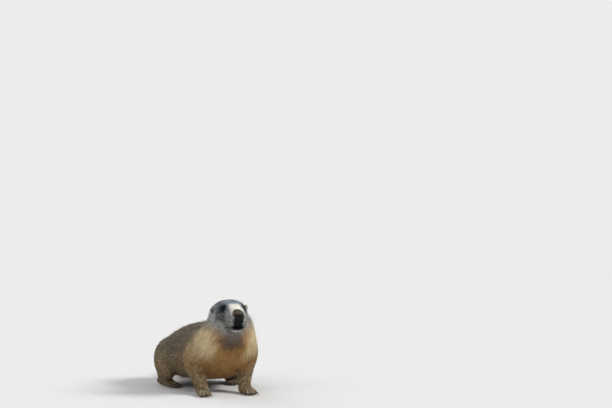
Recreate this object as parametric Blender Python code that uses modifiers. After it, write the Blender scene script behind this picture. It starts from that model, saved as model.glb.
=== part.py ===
"""An alpine marmot, life size, as a still museum model.

Metres, +Z up. The animal faces -Y, its left side is +X, and it half sits on its haunches
with both forefeet planted and its head up. Every node is a closed solid of its own, and
nodes that touch are parted by a thin cut.
"""

import math
import random

import bmesh
import bpy
import numpy as np
from mathutils import Matrix, Vector
from mathutils.bvhtree import BVHTree

# Gaps and the stand
GAP = 0.0003
SEAT_GAP = 0.0005
CUT_BLOCK = 1.0

# The middle of the footprint, which is the origin
FOOTPRINT_X = 0.0
FOOTPRINT_Y = 0.0672

# Head
HEAD_PLACE = Vector((0.0, -0.118, 0.2005))
HEAD_PITCH = math.radians(-4.0)
HEAD_TURN = math.radians(-2.5)
EYE_RADIUS = 0.0064
EYE_PLACE = Vector((0.0230, 0.0596, 0.0180))
EYE_GAZE = Vector((0.86, 0.42, 0.20))
LID_THICKNESS = 0.0015
LID_OPENING = (0.0062, 0.0050)
LID_REACH = 0.010
EAR_PLACE = Vector((0.0376, 0.0262, 0.0105))
EAR_SIZE = (0.0098, 0.0060, 0.0102)
EAR_THICKNESS = 0.0020
EAR_TURN = math.radians(-56.0)
EAR_LEAN = math.radians(-14.0)
NOSE_PLACE = Vector((0.0, 0.1122, 0.0108))
NOSE_SIZE = (0.0108, 0.0054, 0.0078)
NOSTRIL_PLACE = Vector((0.0052, 0.1168, 0.0092))
NOSTRIL_SIZE = (0.0020, 0.0032, 0.0014)
MOUTH_GROOVE = 0.0009
MOUTH_SWEEP = 1.45
MOUTH_CORNER = Vector((0.0235, 0.0800, -0.0225))
MOUTH_FRONT = Vector((0.0, 0.1140, -0.0180))

# Places along the head from its root to the muzzle: how far up, down and sideways it reaches
HEAD_ROWS = (
    (-0.024, 0.0060, 0.0260, 0.0280),
    (-0.006, 0.0255, 0.0370, 0.0390),
    (0.015, 0.0325, 0.0430, 0.0435),
    (0.036, 0.0350, 0.0435, 0.0430),
    (0.056, 0.0335, 0.0415, 0.0358),
    (0.074, 0.0290, 0.0395, 0.0288),
    (0.090, 0.0245, 0.0370, 0.0250),
    (0.104, 0.0200, 0.0335, 0.0222),
    (0.112, 0.0160, 0.0285, 0.0185),
)
HEAD_PEAR = 0.10
HEAD_SQUARENESS = 2.3
MUZZLE_DOME = 0.004

# Swellings and hollows of the head: place, reach, height. All but those on the midline come in pairs
HEAD_FORMS = (
    (Vector((0.0230, 0.0620, 0.0280)), 0.015, 0.0020),
    (Vector((0.0300, 0.0700, 0.0080)), 0.014, -0.0025),
    (Vector((0.0, 0.0600, 0.0340)), 0.020, -0.0015),
    (Vector((0.0430, 0.0320, -0.0180)), 0.030, 0.0015),
    (Vector((0.0200, 0.1000, -0.0040)), 0.014, 0.0028),
    (Vector((0.0, 0.1000, -0.0310)), 0.014, 0.0015),
)

# Trunk and neck from the rump forwards: x, y, z, half width, reach up, reach down
TRUNK_ROWS = (
    (0.0, 0.214, 0.052, 0.026, 0.026, 0.026),
    (0.0, 0.203, 0.054, 0.051, 0.042, 0.036),
    (0.0, 0.182, 0.058, 0.075, 0.056, 0.042),
    (0.0, 0.140, 0.066, 0.095, 0.069, 0.050),
    (0.0, 0.080, 0.079, 0.101, 0.076, 0.061),
    (0.0, 0.015, 0.092, 0.094, 0.074, 0.067),
    (0.002, -0.045, 0.108, 0.083, 0.066, 0.070),
    (0.005, -0.090, 0.134, 0.074, 0.057, 0.068),
    (0.005, -0.118, 0.163, 0.061, 0.050, 0.059),
    (0.001, -0.136, 0.190, 0.046, 0.037, 0.046),
)
TRUNK_PEAR = 0.06
TRUNK_SQUARENESS = 2.15
RUMP_DOME = 0.010

# Legs on the left side, from the body down: x, y, z, half width, half depth
FORELEG_ROWS = (
    (0.046, -0.058, 0.132, 0.028, 0.042),
    (0.060, -0.068, 0.108, 0.030, 0.043),
    (0.065, -0.060, 0.082, 0.027, 0.036),
    (0.062, -0.062, 0.062, 0.0235, 0.0280),
    (0.057, -0.074, 0.040, 0.0190, 0.0215),
    (0.054, -0.084, 0.024, 0.0160, 0.0175),
    (0.053, -0.090, 0.012, 0.0155, 0.0165),
)
THIGH_ROWS = (
    (0.050, 0.150, 0.076, 0.036, 0.038),
    (0.074, 0.125, 0.070, 0.038, 0.050),
    (0.086, 0.092, 0.061, 0.033, 0.044),
    (0.092, 0.068, 0.052, 0.026, 0.032),
)
SHANK_ROWS = (
    (0.092, 0.068, 0.058, 0.024, 0.030),
    (0.090, 0.096, 0.040, 0.022, 0.026),
    (0.086, 0.122, 0.026, 0.018, 0.020),
    (0.084, 0.136, 0.016, 0.016, 0.017),
)
LEG_DOME = 0.010

# Tail from its root to its tip: x, y, z, half width, half height
TAIL_ROWS = (
    (0.000, 0.190, 0.050, 0.018, 0.018),
    (0.001, 0.215, 0.043, 0.022, 0.021),
    (0.005, 0.245, 0.032, 0.026, 0.025),
    (0.015, 0.282, 0.026, 0.029, 0.028),
    (0.030, 0.320, 0.024, 0.029, 0.027),
    (0.045, 0.350, 0.022, 0.023, 0.022),
)
TAIL_DOME = 0.020
TAIL_BRUSH_FROM = 0.210

# Paws: where the wrist or heel stands, which way they point, and their toes
FOREPAW_PLACE = Vector((0.053, -0.088, 0.0))
FOREPAW_TURN = math.radians(6.0)
FOREPAW_LENGTH = 0.052
FOREPAW_WIDTH = 0.034
FOREPAW_HEIGHT = 0.019
FORE_TOES = 4
FORE_CLAW = 0.0135
HINDPAW_PLACE = Vector((0.084, 0.142, 0.0))
HINDPAW_TURN = math.radians(-8.0)
HINDPAW_LENGTH = 0.086
HINDPAW_WIDTH = 0.036
HINDPAW_HEIGHT = 0.020
HIND_TOES = 5
HIND_CLAW = 0.0105
TOE_RADIUS = 0.0049
TOE_SHARE = 0.34
CLAW_RADIUS = 0.0025

# Where the wrist, the heel and the elbow are cut, and how far past the leg its node reaches
WRIST_HEIGHT = 0.0235
HEEL_HEIGHT = 0.0225
ELBOW_HEIGHT = 0.076
LEG_MARGIN = 0.006

# The coat: how deep the core lies under the tips, and where that depth fades out
CORE_DEPTH = 0.006
CORE_ABOVE = 0.040
CORE_FADE = 0.025
LOCK_SINK = 0.005
LOCK_RISE = 3.0
LOCK_TAPER = 0.95
LOCK_CLEAR = 0.0025
LOCK_TURN = 0.22
LOCK_STEPS = 3
LOCK_VARIES = 0.1
SHORTEST_LOCK = 0.55

# The lie of the coat: how steeply it falls along the back, on the flanks and on the chest
BACK_FALL = 0.25
FLANK_FALL = 0.35
CHEST_FALL = 0.9
FLANK_WIDTH = 0.09
CHEST_FROM = -0.02
CHEST_FADE = 0.08

# Locks of each node: spacing, length, half width, thickness
BODY_LOCK = (0.0315, 0.068, 0.0160, 0.0032)
NECK_LOCK = (0.026, 0.050, 0.0135, 0.0028)
THIGH_LOCK = (0.028, 0.048, 0.0135, 0.0028)
ARM_LOCK = (0.021, 0.036, 0.0110, 0.0026)
TAIL_LOCK = (0.026, 0.056, 0.0140, 0.0034)

# The tail's core as a share of its outline, for each of its places
TAIL_CORE = (1.0, 0.94, 0.78, 0.64, 0.60, 0.60)

# The cuts through the neck: a point on each and how far it leans back
NAPE_CUT = (Vector((0.0, -0.128, 0.188)), math.radians(32.0))
NECK_CUT = (Vector((0.0, -0.098, 0.148)), math.radians(44.0))

# Where locks stop short of the tail, the rump's end and the insides of the legs
TAIL_CLEAR = 0.024
LEG_LOCKS_OUTSIDE = 0.058
LEG_LOCKS_ABOVE = 0.045

# Fineness of the solids
BODY_VOXEL = 0.0032
HEAD_TRIANGLES = 1400
BODY_TRIANGLES = 1800
CUT_SPARE = 0.004
SOFT_STEPS = 30
SOFT_FROM = -0.155
SOFT_ABOVE = 0.030
SOFT_FADE = 0.040
EYE_SIDES = 14
PAW_VOXEL = 0.0015
PAW_TRIANGLES = 250
CLAW_SIDES = 5
EAR_SIDES = 12
TAIL_SIDES = 14
NOSE_SIDES = 12
GROOVE_POINTS = 13
CLEFT_POINTS = 4

COLOURS = {
    "grey_brown_fur": ((0.26, 0.21, 0.15, 1.0), 0.9),
    "head_fur": ((0.24, 0.24, 0.24, 1.0), 0.9),
    "paw_skin": ((0.30, 0.24, 0.16, 1.0), 0.8),
    "tail_fur": ((0.15, 0.12, 0.09, 1.0), 0.9),
    "nose_leather": ((0.035, 0.030, 0.028, 1.0), 0.45),
    "eye": ((0.012, 0.010, 0.010, 1.0), 0.08),
    "claw_horn": ((0.060, 0.050, 0.042, 1.0), 0.4),
}


def clear_scene():
    for obj in list(bpy.data.objects):
        bpy.data.objects.remove(obj, do_unlink=True)


def new_collection(name):
    collection = bpy.data.collections.new(name)
    bpy.context.scene.collection.children.link(collection)
    return collection


def make_material(name):
    colour, roughness = COLOURS[name]
    material = bpy.data.materials.get(name) or bpy.data.materials.new(name)
    material.use_nodes = True
    shader = material.node_tree.nodes["Principled BSDF"]
    shader.inputs["Base Color"].default_value = colour
    shader.inputs["Roughness"].default_value = roughness
    return material


def object_from(name, mesh, collection):
    obj = bpy.data.objects.new(name, mesh)
    collection.objects.link(obj)
    return obj


def read_smoothly(rows, count):
    """Reads a table along a smooth curve through its rows, at even steps of the way between centres."""
    table = np.array(rows, float)
    steps = np.linalg.norm(np.diff(table[:, :3], axis=0), axis=1)
    place = np.concatenate([[0.0], np.cumsum(steps)])
    slope = np.gradient(table, place, axis=0)
    at = np.linspace(0.0, place[-1], count)
    row = np.clip(np.searchsorted(place, at, side="right") - 1, 0, len(place) - 2)
    width = (place[row + 1] - place[row])[:, None]
    t = ((at - place[row]) / width[:, 0])[:, None]
    h00 = 2 * t**3 - 3 * t**2 + 1
    h10 = t**3 - 2 * t**2 + t
    h01 = 3 * t**2 - 2 * t**3
    h11 = t**3 - t**2
    return (
        h00 * table[row]
        + h10 * width * slope[row]
        + h01 * table[row + 1]
        + h11 * width * slope[row + 1]
    )


def loft(
    name, rows, collection, sides=32, rings=24, start_dome=0.0, end_dome=0.0, square=2.0,
    dome_steps=3, pear=0.0,
):
    """A closed body through rows of x, y, z, half width, reach up, reach down, with domed ends."""
    table = read_smoothly(rows, rings)
    centre = table[:, :3]
    tangent = np.gradient(centre, axis=0)
    tangent /= np.linalg.norm(tangent, axis=1)[:, None]
    across = np.array((1.0, 0.0, 0.0)) - tangent * tangent[:, :1]
    across /= np.linalg.norm(across, axis=1)[:, None]
    upward = np.cross(tangent, across)
    if upward[:, 2].sum() < 0.0:
        upward = -upward
    turn = np.linspace(0.0, 2.0 * math.pi, sides, endpoint=False)
    cosine = np.sign(np.cos(turn)) * np.abs(np.cos(turn)) ** (2.0 / square)
    sine = np.sign(np.sin(turn)) * np.abs(np.sin(turn)) ** (2.0 / square)

    def ring(index, share, shift):
        reach = np.where(sine > 0, table[index, 4], table[index, 5])
        middle = centre[index] + tangent[index] * shift
        return (
            middle
            + share * table[index, 3] * (cosine * (1.0 - pear * sine))[:, None] * across[index]
            + share * (reach * sine)[:, None] * upward[index]
        )

    dome_turns = [math.radians(90.0 * (1.0 - step / (dome_steps + 1))) for step in range(1, dome_steps + 1)]
    points = [centre[0] - tangent[0] * start_dome]
    if start_dome:
        points += [p for a in dome_turns for p in ring(0, math.cos(a), -start_dome * math.sin(a))]
    for index in range(rings):
        points += list(ring(index, 1.0, 0.0))
    if end_dome:
        points += [
            p for a in reversed(dome_turns) for p in ring(-1, math.cos(a), end_dome * math.sin(a))
        ]
    points.append(centre[-1] + tangent[-1] * end_dome)
    ring_count = (len(points) - 2) // sides
    faces = []
    for side in range(sides):
        after = (side + 1) % sides
        faces.append((0, 1 + after, 1 + side))
        for index in range(ring_count - 1):
            low = 1 + index * sides
            faces.append((low + side, low + after, low + sides + after, low + sides + side))
        last = 1 + (ring_count - 1) * sides
        faces.append((last + side, last + after, len(points) - 1))
    mesh = bpy.data.meshes.new(name)
    mesh.from_pydata([tuple(p) for p in points], [], faces)
    face_outwards(mesh)
    return object_from(name, mesh, collection)


def face_outwards(mesh):
    work = bmesh.new()
    work.from_mesh(mesh)
    bmesh.ops.recalc_face_normals(work, faces=work.faces)
    work.to_mesh(mesh)
    work.free()


def ball(name, collection, size, matrix, segments=24):
    """An ellipsoid of the given half sizes."""
    work = bmesh.new()
    bmesh.ops.create_uvsphere(work, u_segments=segments, v_segments=segments * 2 // 3, radius=1.0)
    work.transform(matrix @ Matrix.Diagonal((*size, 1.0)))
    mesh = bpy.data.meshes.new(name)
    work.to_mesh(mesh)
    work.free()
    return object_from(name, mesh, collection)


def block(name, collection, point, direction):
    """A large cube with one face through point, filling the side that direction points to."""
    direction = Vector(direction).normalized()
    work = bmesh.new()
    bmesh.ops.create_cube(work, size=CUT_BLOCK)
    turn = direction.to_track_quat("Z", "Y").to_matrix().to_4x4()
    work.transform(Matrix.Translation(point + direction * CUT_BLOCK / 2) @ turn)
    mesh = bpy.data.meshes.new(name)
    work.to_mesh(mesh)
    work.free()
    return object_from(name, mesh, collection)


def apply_modifiers(obj):
    graph = bpy.context.evaluated_depsgraph_get()
    mesh = bpy.data.meshes.new_from_object(obj.evaluated_get(graph))
    obj.modifiers.clear()
    obj.data = mesh
    return obj


def keep_largest(obj):
    """Drops every shell but the largest. Shells that only touch along an edge are two."""
    work = bmesh.new()
    work.from_mesh(obj.data)
    seen = set()
    shells = []
    for start in work.faces:
        if start.index in seen:
            continue
        seen.add(start.index)
        shell = [start]
        for face in shell:
            for edge in face.edges:
                for other in edge.link_faces if len(edge.link_faces) == 2 else ():
                    if other.index not in seen:
                        seen.add(other.index)
                        shell.append(other)
        shells.append(shell)
    shells.sort(key=len)
    dropped = [face for shell in shells[:-1] for face in shell]
    bmesh.ops.delete(work, geom=dropped, context="FACES")
    work.to_mesh(obj.data)
    work.free()
    return obj


def combine(obj, other, operation):
    """Unites obj with other, cuts other from it, or keeps what both share."""
    modifier = obj.modifiers.new(operation.title(), "BOOLEAN")
    modifier.operation = operation
    modifier.solver = "EXACT"
    modifier.object = other
    apply_modifiers(obj)
    return keep_largest(obj)


def copy_of(obj, name, collection):
    return object_from(name, obj.data.copy(), collection)


def swollen(obj, name, collection, amount):
    """A copy that stands out from obj by amount all over, to cut the gap round it."""
    other = copy_of(obj, name, collection)
    modifier = other.modifiers.new("Swell", "DISPLACE")
    modifier.mid_level = 0.0
    modifier.strength = amount
    return apply_modifiers(other)


def remeshed(obj, voxel, smooth_steps):
    """One even skin over all that obj holds, smoothed."""
    remesh = obj.modifiers.new("Skin", "REMESH")
    remesh.mode = "VOXEL"
    remesh.voxel_size = voxel
    smooth = obj.modifiers.new("Smooth", "SMOOTH")
    smooth.factor = 0.5
    smooth.iterations = smooth_steps
    return apply_modifiers(obj)


def soften(body):
    """Smooths the trunk and the tops of the legs further, where a coat hides the muscles."""
    group = body.vertex_groups.new(name="soft")
    for vertex in body.data.vertices:
        behind = (vertex.co.y - SOFT_FROM) / SOFT_FADE
        above = (vertex.co.z - SOFT_ABOVE) / SOFT_FADE
        group.add([vertex.index], max(0.0, min(1.0, behind, above)), "REPLACE")
    smooth = body.modifiers.new("Soften", "SMOOTH")
    smooth.factor = 0.5
    smooth.iterations = SOFT_STEPS
    smooth.vertex_group = group.name
    apply_modifiers(body)


def thinned(obj, triangles):
    """Fewer faces, kept where the form bends."""
    obj.data.calc_loop_triangles()
    fewer = obj.modifiers.new("Fewer", "DECIMATE")
    fewer.ratio = min(1.0, triangles / len(obj.data.loop_triangles))
    return apply_modifiers(obj)


def join_loose(name, objects, collection):
    """One object that holds all the shells of several, which are removed."""
    work = bmesh.new()
    for obj in objects:
        work.from_mesh(obj.data)
        bpy.data.objects.remove(obj)
    mesh = bpy.data.meshes.new(name)
    work.to_mesh(mesh)
    work.free()
    return object_from(name, mesh, collection)


def mirror_x(point, side):
    return Vector((point[0] * side, point[1], point[2]))


def mirror_rows(rows, side):
    return [(row[0] * side, *row[1:]) for row in rows]


def head_matrix():
    """From the head's own frame, where y runs from its root to the nose, to the animal's."""
    facing = Matrix.Rotation(math.pi, 4, "Z")
    turn = Matrix.Rotation(HEAD_TURN, 4, "Z")
    pitch = Matrix.Rotation(HEAD_PITCH, 4, "X")
    return Matrix.Translation(HEAD_PLACE) @ turn @ facing @ pitch


def head_point(place, side=1):
    """A point of the head's frame, whose x is mirrored for the right side."""
    return head_matrix() @ Vector((-place[0] * side, place[1], place[2]))


def raise_forms(obj):
    """Pushes the head's swellings out and its hollows in."""
    mesh = obj.data
    normals = [vertex.normal.copy() for vertex in mesh.vertices]
    for place, reach, height in HEAD_FORMS:
        for side in (1, -1) if place[0] else (1,):
            middle = head_point(place, side)
            for vertex, normal in zip(mesh.vertices, normals):
                share = 1.0 - (vertex.co - middle).length / reach
                if share > 0.0:
                    vertex.co += normal * height * share * share * (3.0 - 2.0 * share)
    mesh.update()


def make_body(guides):
    """Trunk, neck, head and legs as one skin."""
    pieces = []
    pieces.append(
        loft(
            "trunk", TRUNK_ROWS, guides, 48, 40, RUMP_DOME, 0.012, TRUNK_SQUARENESS, pear=TRUNK_PEAR
        )
    )
    head_rows = [(0.0, along, 0.0, side, up, down) for along, up, down, side in HEAD_ROWS]
    head = loft(
        "head_form", head_rows, guides, 48, 48, 0.01, MUZZLE_DOME, HEAD_SQUARENESS, pear=HEAD_PEAR
    )
    head.data.transform(head_matrix())
    pieces.append(head)
    for side in (1, -1):
        for name, rows in (("fore", FORELEG_ROWS), ("thigh", THIGH_ROWS), ("shank", SHANK_ROWS)):
            leg_rows = [(*row, row[4]) for row in mirror_rows(rows, side)]
            pieces.append(loft(name, leg_rows, guides, 24, 20, LEG_DOME, LEG_DOME))
    body = join_loose("body", pieces, guides)
    remeshed(body, BODY_VOXEL, 5)
    soften(body)
    raise_forms(body)
    return body


def clip(obj, point, direction, guides):
    """Cuts away what lies past point in that direction."""
    cutter = block("cutter", guides, point, direction)
    combine(obj, cutter, "DIFFERENCE")
    bpy.data.objects.remove(cutter)


def part_by_plane(body, name, cut, triangles, parts, guides):
    """Takes what lies ahead of the cut as a node of its own, and thins both before the last cut."""
    point, lean = cut
    ahead = Vector((0.0, -math.cos(lean), math.sin(lean)))
    piece = copy_of(body, name, parts)
    for obj, way, count in ((piece, -ahead, triangles[0]), (body, ahead, triangles[1])):
        clip(obj, point + way * CUT_SPARE, way, guides)
        if count:
            thinned(obj, count)
    clip(piece, point + ahead * GAP, -ahead, guides)
    clip(body, point, ahead, guides)
    return piece


def leg_region(name, rows_list, side, margin, guides):
    """The space round a leg, which takes the leg's node out of the body."""
    work = bmesh.new()
    for rows in rows_list:
        wide = [
            (x, y, z, half + margin, deep + margin, deep + margin)
            for x, y, z, half, deep in mirror_rows(rows, side)
        ]
        piece = loft(name, wide, guides, 10, 4, LEG_DOME + margin, LEG_DOME + margin)
        work.from_mesh(piece.data)
        bpy.data.objects.remove(piece)
    hull = bmesh.ops.convex_hull(work, input=work.verts)
    inner = [item for item in hull["geom_interior"] if isinstance(item, bmesh.types.BMVert)]
    bmesh.ops.delete(work, geom=inner, context="VERTS")
    kept = set(item for item in hull["geom"] if isinstance(item, bmesh.types.BMFace))
    bmesh.ops.delete(work, geom=[face for face in work.faces if face not in kept], context="FACES")
    mesh = bpy.data.meshes.new(name)
    work.to_mesh(mesh)
    work.free()
    face_outwards(mesh)
    return object_from(name, mesh, guides)


def part_leg(body, name, region, around, cut_height, parts, guides):
    leg = copy_of(body, name, parts)
    combine(leg, region, "INTERSECT")
    combine(body, around, "DIFFERENCE")
    clip(leg, Vector((0.0, 0.0, cut_height + GAP)), (0.0, 0.0, -1.0), guides)
    return leg


def cut_side(cut, place):
    """How far a place lies ahead of a cut through the neck."""
    point, lean = cut
    return (place - point).dot(Vector((0.0, -math.cos(lean), math.sin(lean))))


def hull_side(tree, place):
    """How far a place lies outside a convex region."""
    nearest, outward, _, _ = tree.find_nearest(place)
    return (place - nearest).dot(outward)


def sink_core(body):
    """Draws the skin in to half the coat's depth where locks grow over it."""
    mesh = body.data
    normals = [vertex.normal.copy() for vertex in mesh.vertices]
    for vertex, normal in zip(mesh.vertices, normals):
        above = (vertex.co.z - CORE_ABOVE) / CORE_FADE
        behind = -cut_side(NAPE_CUT, vertex.co) / CORE_FADE + 0.5
        vertex.co -= normal * CORE_DEPTH * max(0.0, min(1.0, above, behind))
    mesh.update()


def body_flow(place):
    """The lie of the coat on the trunk and legs: back towards the tail and down the sides."""
    flank = min(1.0, abs(place.x) / FLANK_WIDTH)
    chest = max(0.0, min(1.0, (CHEST_FROM - place.y) / CHEST_FADE))
    return Vector((0.0, 1.0, -BACK_FALL - FLANK_FALL * flank - CHEST_FALL * chest))


def tail_flow(place):
    """Along the tail at the part of it that is nearest."""
    centres = [Vector(row[:3]) for row in TAIL_ROWS]
    nearest = min(range(len(centres) - 1), key=lambda index: (centres[index] - place).length)
    return (centres[nearest + 1] - centres[nearest]).normalized()


def tail_distance(place):
    """How far a place is from the middle line of the tail."""
    centres = [Vector(row[:3]) for row in TAIL_ROWS]
    distances = []
    for start, end in zip(centres, centres[1:]):
        span = end - start
        share = max(0.0, min(1.0, (place - start).dot(span) / span.length_squared))
        distances.append((place - start - span * share).length)
    return min(distances)


def lay_lock(tree, root, flow, turn, size, depth):
    """The rings of a lock, each two edges and a ridge, from its root in the core out to its tip."""
    _, length, half_width, thickness = size
    place = root
    rings = []
    for step in range(LOCK_STEPS + 1):
        share = step / LOCK_STEPS
        place, outward, _, _ = tree.find_nearest(place)
        way = flow(place)
        way = (way - outward * way.dot(outward)).normalized()
        across = outward.cross(way)
        way = (way + across * turn).normalized()
        across = outward.cross(way)
        height = -thickness * (1.0 - share) - (depth + LOCK_SINK) * (1.0 - share) ** LOCK_RISE
        half = half_width * (1.0 - LOCK_TAPER * share * share)
        edges = []
        for side in (-1, 1):
            edge, edge_outward, _, _ = tree.find_nearest(place + across * half * side)
            edges.append(edge + edge_outward * height)
        rings.append((edges[0], place + outward * (height + thickness * (1.0 - share)), edges[1]))
        place = place + way * length / LOCK_STEPS
    return rings


def make_lock(rings, collection):
    """A flat lock of three sides through the rings, which ends in a point."""
    points = [point for ring in rings[:-1] for point in ring]
    points.append(rings[-1][1])
    faces = [(0, 1, 2)]
    for ring in range(len(rings) - 2):
        for side in range(3):
            low, after = 3 * ring + side, 3 * ring + (side + 1) % 3
            faces += [(low, after, low + 3), (after, after + 3, low + 3)]
    last = 3 * (len(rings) - 2)
    for side in range(3):
        faces.append((last + side, last + (side + 1) % 3, len(points) - 1))
    mesh = bpy.data.meshes.new("lock")
    mesh.from_pydata(points, [], faces)
    face_outwards(mesh)
    return object_from("lock", mesh, collection)


def grow_locks(host, outline, zone, flow, size, depth, seed):
    """Sets overlapping locks evenly over a zone of the outline and fuses them with the host."""
    tree = BVHTree.FromObject(outline, bpy.context.evaluated_depsgraph_get())
    chance = random.Random(seed)
    places = [vertex.co.copy() for vertex in outline.data.vertices if zone(vertex.co)]
    chance.shuffle(places)
    locks = new_collection("locks")
    roots = []
    for root in places:
        if any((root - other).length < size[0] for other in roots):
            continue
        turn = chance.uniform(-LOCK_TURN, LOCK_TURN)
        share = 1.0 + chance.uniform(-LOCK_VARIES, LOCK_VARIES)
        while share > SHORTEST_LOCK:
            grown = (size[0], size[1] * share, size[2] * min(1.0, share), size[3])
            rings = lay_lock(tree, root, flow, turn, grown, depth)
            if all(zone(point) for ring in rings for point in ring):
                roots.append(root)
                make_lock(rings, locks)
                break
            share -= LOCK_VARIES
    fuse = host.modifiers.new("Fuse", "BOOLEAN")
    fuse.operation = "UNION"
    fuse.solver = "MANIFOLD"
    fuse.operand_type = "COLLECTION"
    fuse.collection = locks
    apply_modifiers(host)
    keep_largest(host)
    for lock in list(locks.objects):
        bpy.data.objects.remove(lock)
    bpy.data.collections.remove(locks)


def toe_rows(toe, toes, length, width):
    """A toe from the palm to its tip, in the paw's frame, where -y is forwards."""
    share = (toe - (toes - 1) / 2) / ((toes - 1) / 2)
    reach = length * (1.0 - 0.13 * share * share - 0.04 * share)
    root = length * (1.0 - TOE_SHARE) * 0.9
    x_root = share * (width / 2 - TOE_RADIUS) * 0.92
    x_tip = share * (width / 2 - TOE_RADIUS) * 1.12
    middle = (root + reach) / 2
    knuckle = TOE_RADIUS * 1.55
    return (
        (x_root, -root, TOE_RADIUS * 1.2, TOE_RADIUS, TOE_RADIUS, TOE_RADIUS),
        ((x_root + x_tip) / 2, -middle, knuckle, TOE_RADIUS, TOE_RADIUS, TOE_RADIUS),
        (x_tip, -reach + TOE_RADIUS * 0.8, TOE_RADIUS * 0.95, TOE_RADIUS * 0.86, TOE_RADIUS * 0.8,
         TOE_RADIUS * 0.9),
    )


def paw_matrix(place, turn, side):
    return Matrix.Translation(mirror_x(place, side)) @ Matrix.Rotation(turn * side, 4, "Z")


def make_paw(name, place, turn, size, toes, leg_rows, cut_height, side, parts, guides):
    """Palm, toes and the stub of the leg, standing on a flat sole."""
    length, width, height = size
    matrix = paw_matrix(place, turn, side)
    palm_length = length * (1.0 - TOE_SHARE) + TOE_RADIUS
    half = width / 2
    palm_rows = (
        (0.0, 0.012, height * 0.55, half * 0.74, height * 0.42, height * 0.50),
        (0.0, -palm_length * 0.35, height * 0.50, half * 0.86, height * 0.46, height * 0.48),
        (0.0, -palm_length * 0.75, height * 0.40, half * 0.98, height * 0.42, height * 0.40),
        (0.0, -palm_length, height * 0.34, half * 0.92, height * 0.32, height * 0.34),
    )
    pieces = [loft("palm", palm_rows, guides, 24, 16, 0.007, 0.004, 2.3)]
    for toe in range(toes):
        rows = toe_rows(toe, toes, length, width)
        pieces.append(loft("toe", rows, guides, 14, 10, 0.003, TOE_RADIUS * 0.7))
    for piece in pieces:
        piece.data.transform(matrix)
    stub_rows = [(*row, row[4]) for row in mirror_rows(leg_rows, side)]
    pieces.append(loft("stub", stub_rows, guides, 24, 16, 0.0, 0.006))
    paw = join_loose(name, pieces, parts)
    remeshed(paw, PAW_VOXEL, 4)
    thinned(paw, PAW_TRIANGLES)
    clip(paw, Vector((0.0, 0.0, 0.0)), (0.0, 0.0, -1.0), guides)
    clip(paw, Vector((0.0, 0.0, cut_height)), (0.0, 0.0, 1.0), guides)
    return paw


def make_claw(name, paw_place, turn, size, toe, toes, claw_length, side, parts):
    """A curved claw from the tip of its toe down towards the floor."""
    length, width, _ = size
    tip = toe_rows(toe, toes, length, width)[-1]
    root = Vector((tip[0], tip[1] - TOE_RADIUS * 0.20, tip[2] + TOE_RADIUS * 0.25))
    rows = []
    for share in (0.0, 0.3, 0.6, 0.85, 1.0):
        bend = share * share
        rows.append(
            (
                root.x * (1.0 + 0.04 * share),
                root.y - claw_length * share,
                root.z - (root.z - CLAW_RADIUS * 0.45) * bend,
                CLAW_RADIUS * 0.72 * (1.0 - 0.80 * share),
                CLAW_RADIUS * (1.0 - 0.78 * share),
                CLAW_RADIUS * (1.0 - 0.78 * share),
            )
        )
    claw = loft(name, rows, parts, CLAW_SIDES, 4, 0.002, 0.0006, 2.0, 1)
    claw.data.transform(paw_matrix(paw_place, turn, side))
    return claw


def seat(piece, host, guides):
    """Sinks piece in host: the host gets a hollow that stays the gap clear of it."""
    around = swollen(piece, "around", guides, SEAT_GAP)
    combine(host, around, "DIFFERENCE")
    bpy.data.objects.remove(around)


def gaze_matrix(side):
    gaze = Vector((-EYE_GAZE.x * side, EYE_GAZE.y, EYE_GAZE.z)).normalized()
    world_gaze = head_matrix().to_3x3() @ gaze
    turn = world_gaze.to_track_quat("Z", "Y").to_matrix().to_4x4()
    return Matrix.Translation(head_point(EYE_PLACE, side)) @ turn


def make_eye(side, head, parts, guides):
    """An eyeball in its socket, with two lids that leave an almond open."""
    label = "left" if side > 0 else "right"
    matrix = gaze_matrix(side)
    lid_radius = EYE_RADIUS + LID_THICKNESS
    lids = ball("lids", guides, (lid_radius,) * 3, matrix, EYE_SIDES)
    combine(head, lids, "UNION")
    wide, high = LID_OPENING
    opening_place = matrix @ Matrix.Translation((0.0, 0.0, LID_REACH * 0.8))
    opening = ball("opening", guides, (wide, high, LID_REACH), opening_place, EYE_SIDES)
    combine(head, opening, "DIFFERENCE")
    socket = ball("socket", guides, (EYE_RADIUS + GAP,) * 3, matrix, EYE_SIDES)
    combine(head, socket, "DIFFERENCE")
    for guide in (lids, opening, socket):
        bpy.data.objects.remove(guide)
    return ball(f"eye_{label}", parts, (EYE_RADIUS,) * 3, matrix, EYE_SIDES)


def make_ear(side, head, parts, guides):
    """A small round cup, open to the front and the side."""
    label = "left" if side > 0 else "right"
    work = bmesh.new()
    bmesh.ops.create_uvsphere(work, u_segments=EAR_SIDES, v_segments=7, radius=1.0)
    open_side = [vertex for vertex in work.verts if vertex.co.y > 0.25]
    bmesh.ops.delete(work, geom=open_side, context="VERTS")
    work.transform(Matrix.Diagonal((*EAR_SIZE, 1.0)))
    mesh = bpy.data.meshes.new("ear")
    work.to_mesh(mesh)
    work.free()
    ear = object_from(f"ear_{label}", mesh, parts)
    shell = ear.modifiers.new("Shell", "SOLIDIFY")
    shell.thickness = EAR_THICKNESS
    shell.offset = -1.0
    apply_modifiers(ear)
    face_outwards(ear.data)
    turn = Matrix.Rotation(EAR_TURN * -side, 4, "Z")
    lean = Matrix.Rotation(EAR_LEAN, 4, "X")
    place = head_matrix() @ Matrix.Translation((-EAR_PLACE.x * side, EAR_PLACE.y, EAR_PLACE.z))
    ear.data.transform(place @ turn @ lean)
    seat(ear, head, guides)
    return ear


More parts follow.
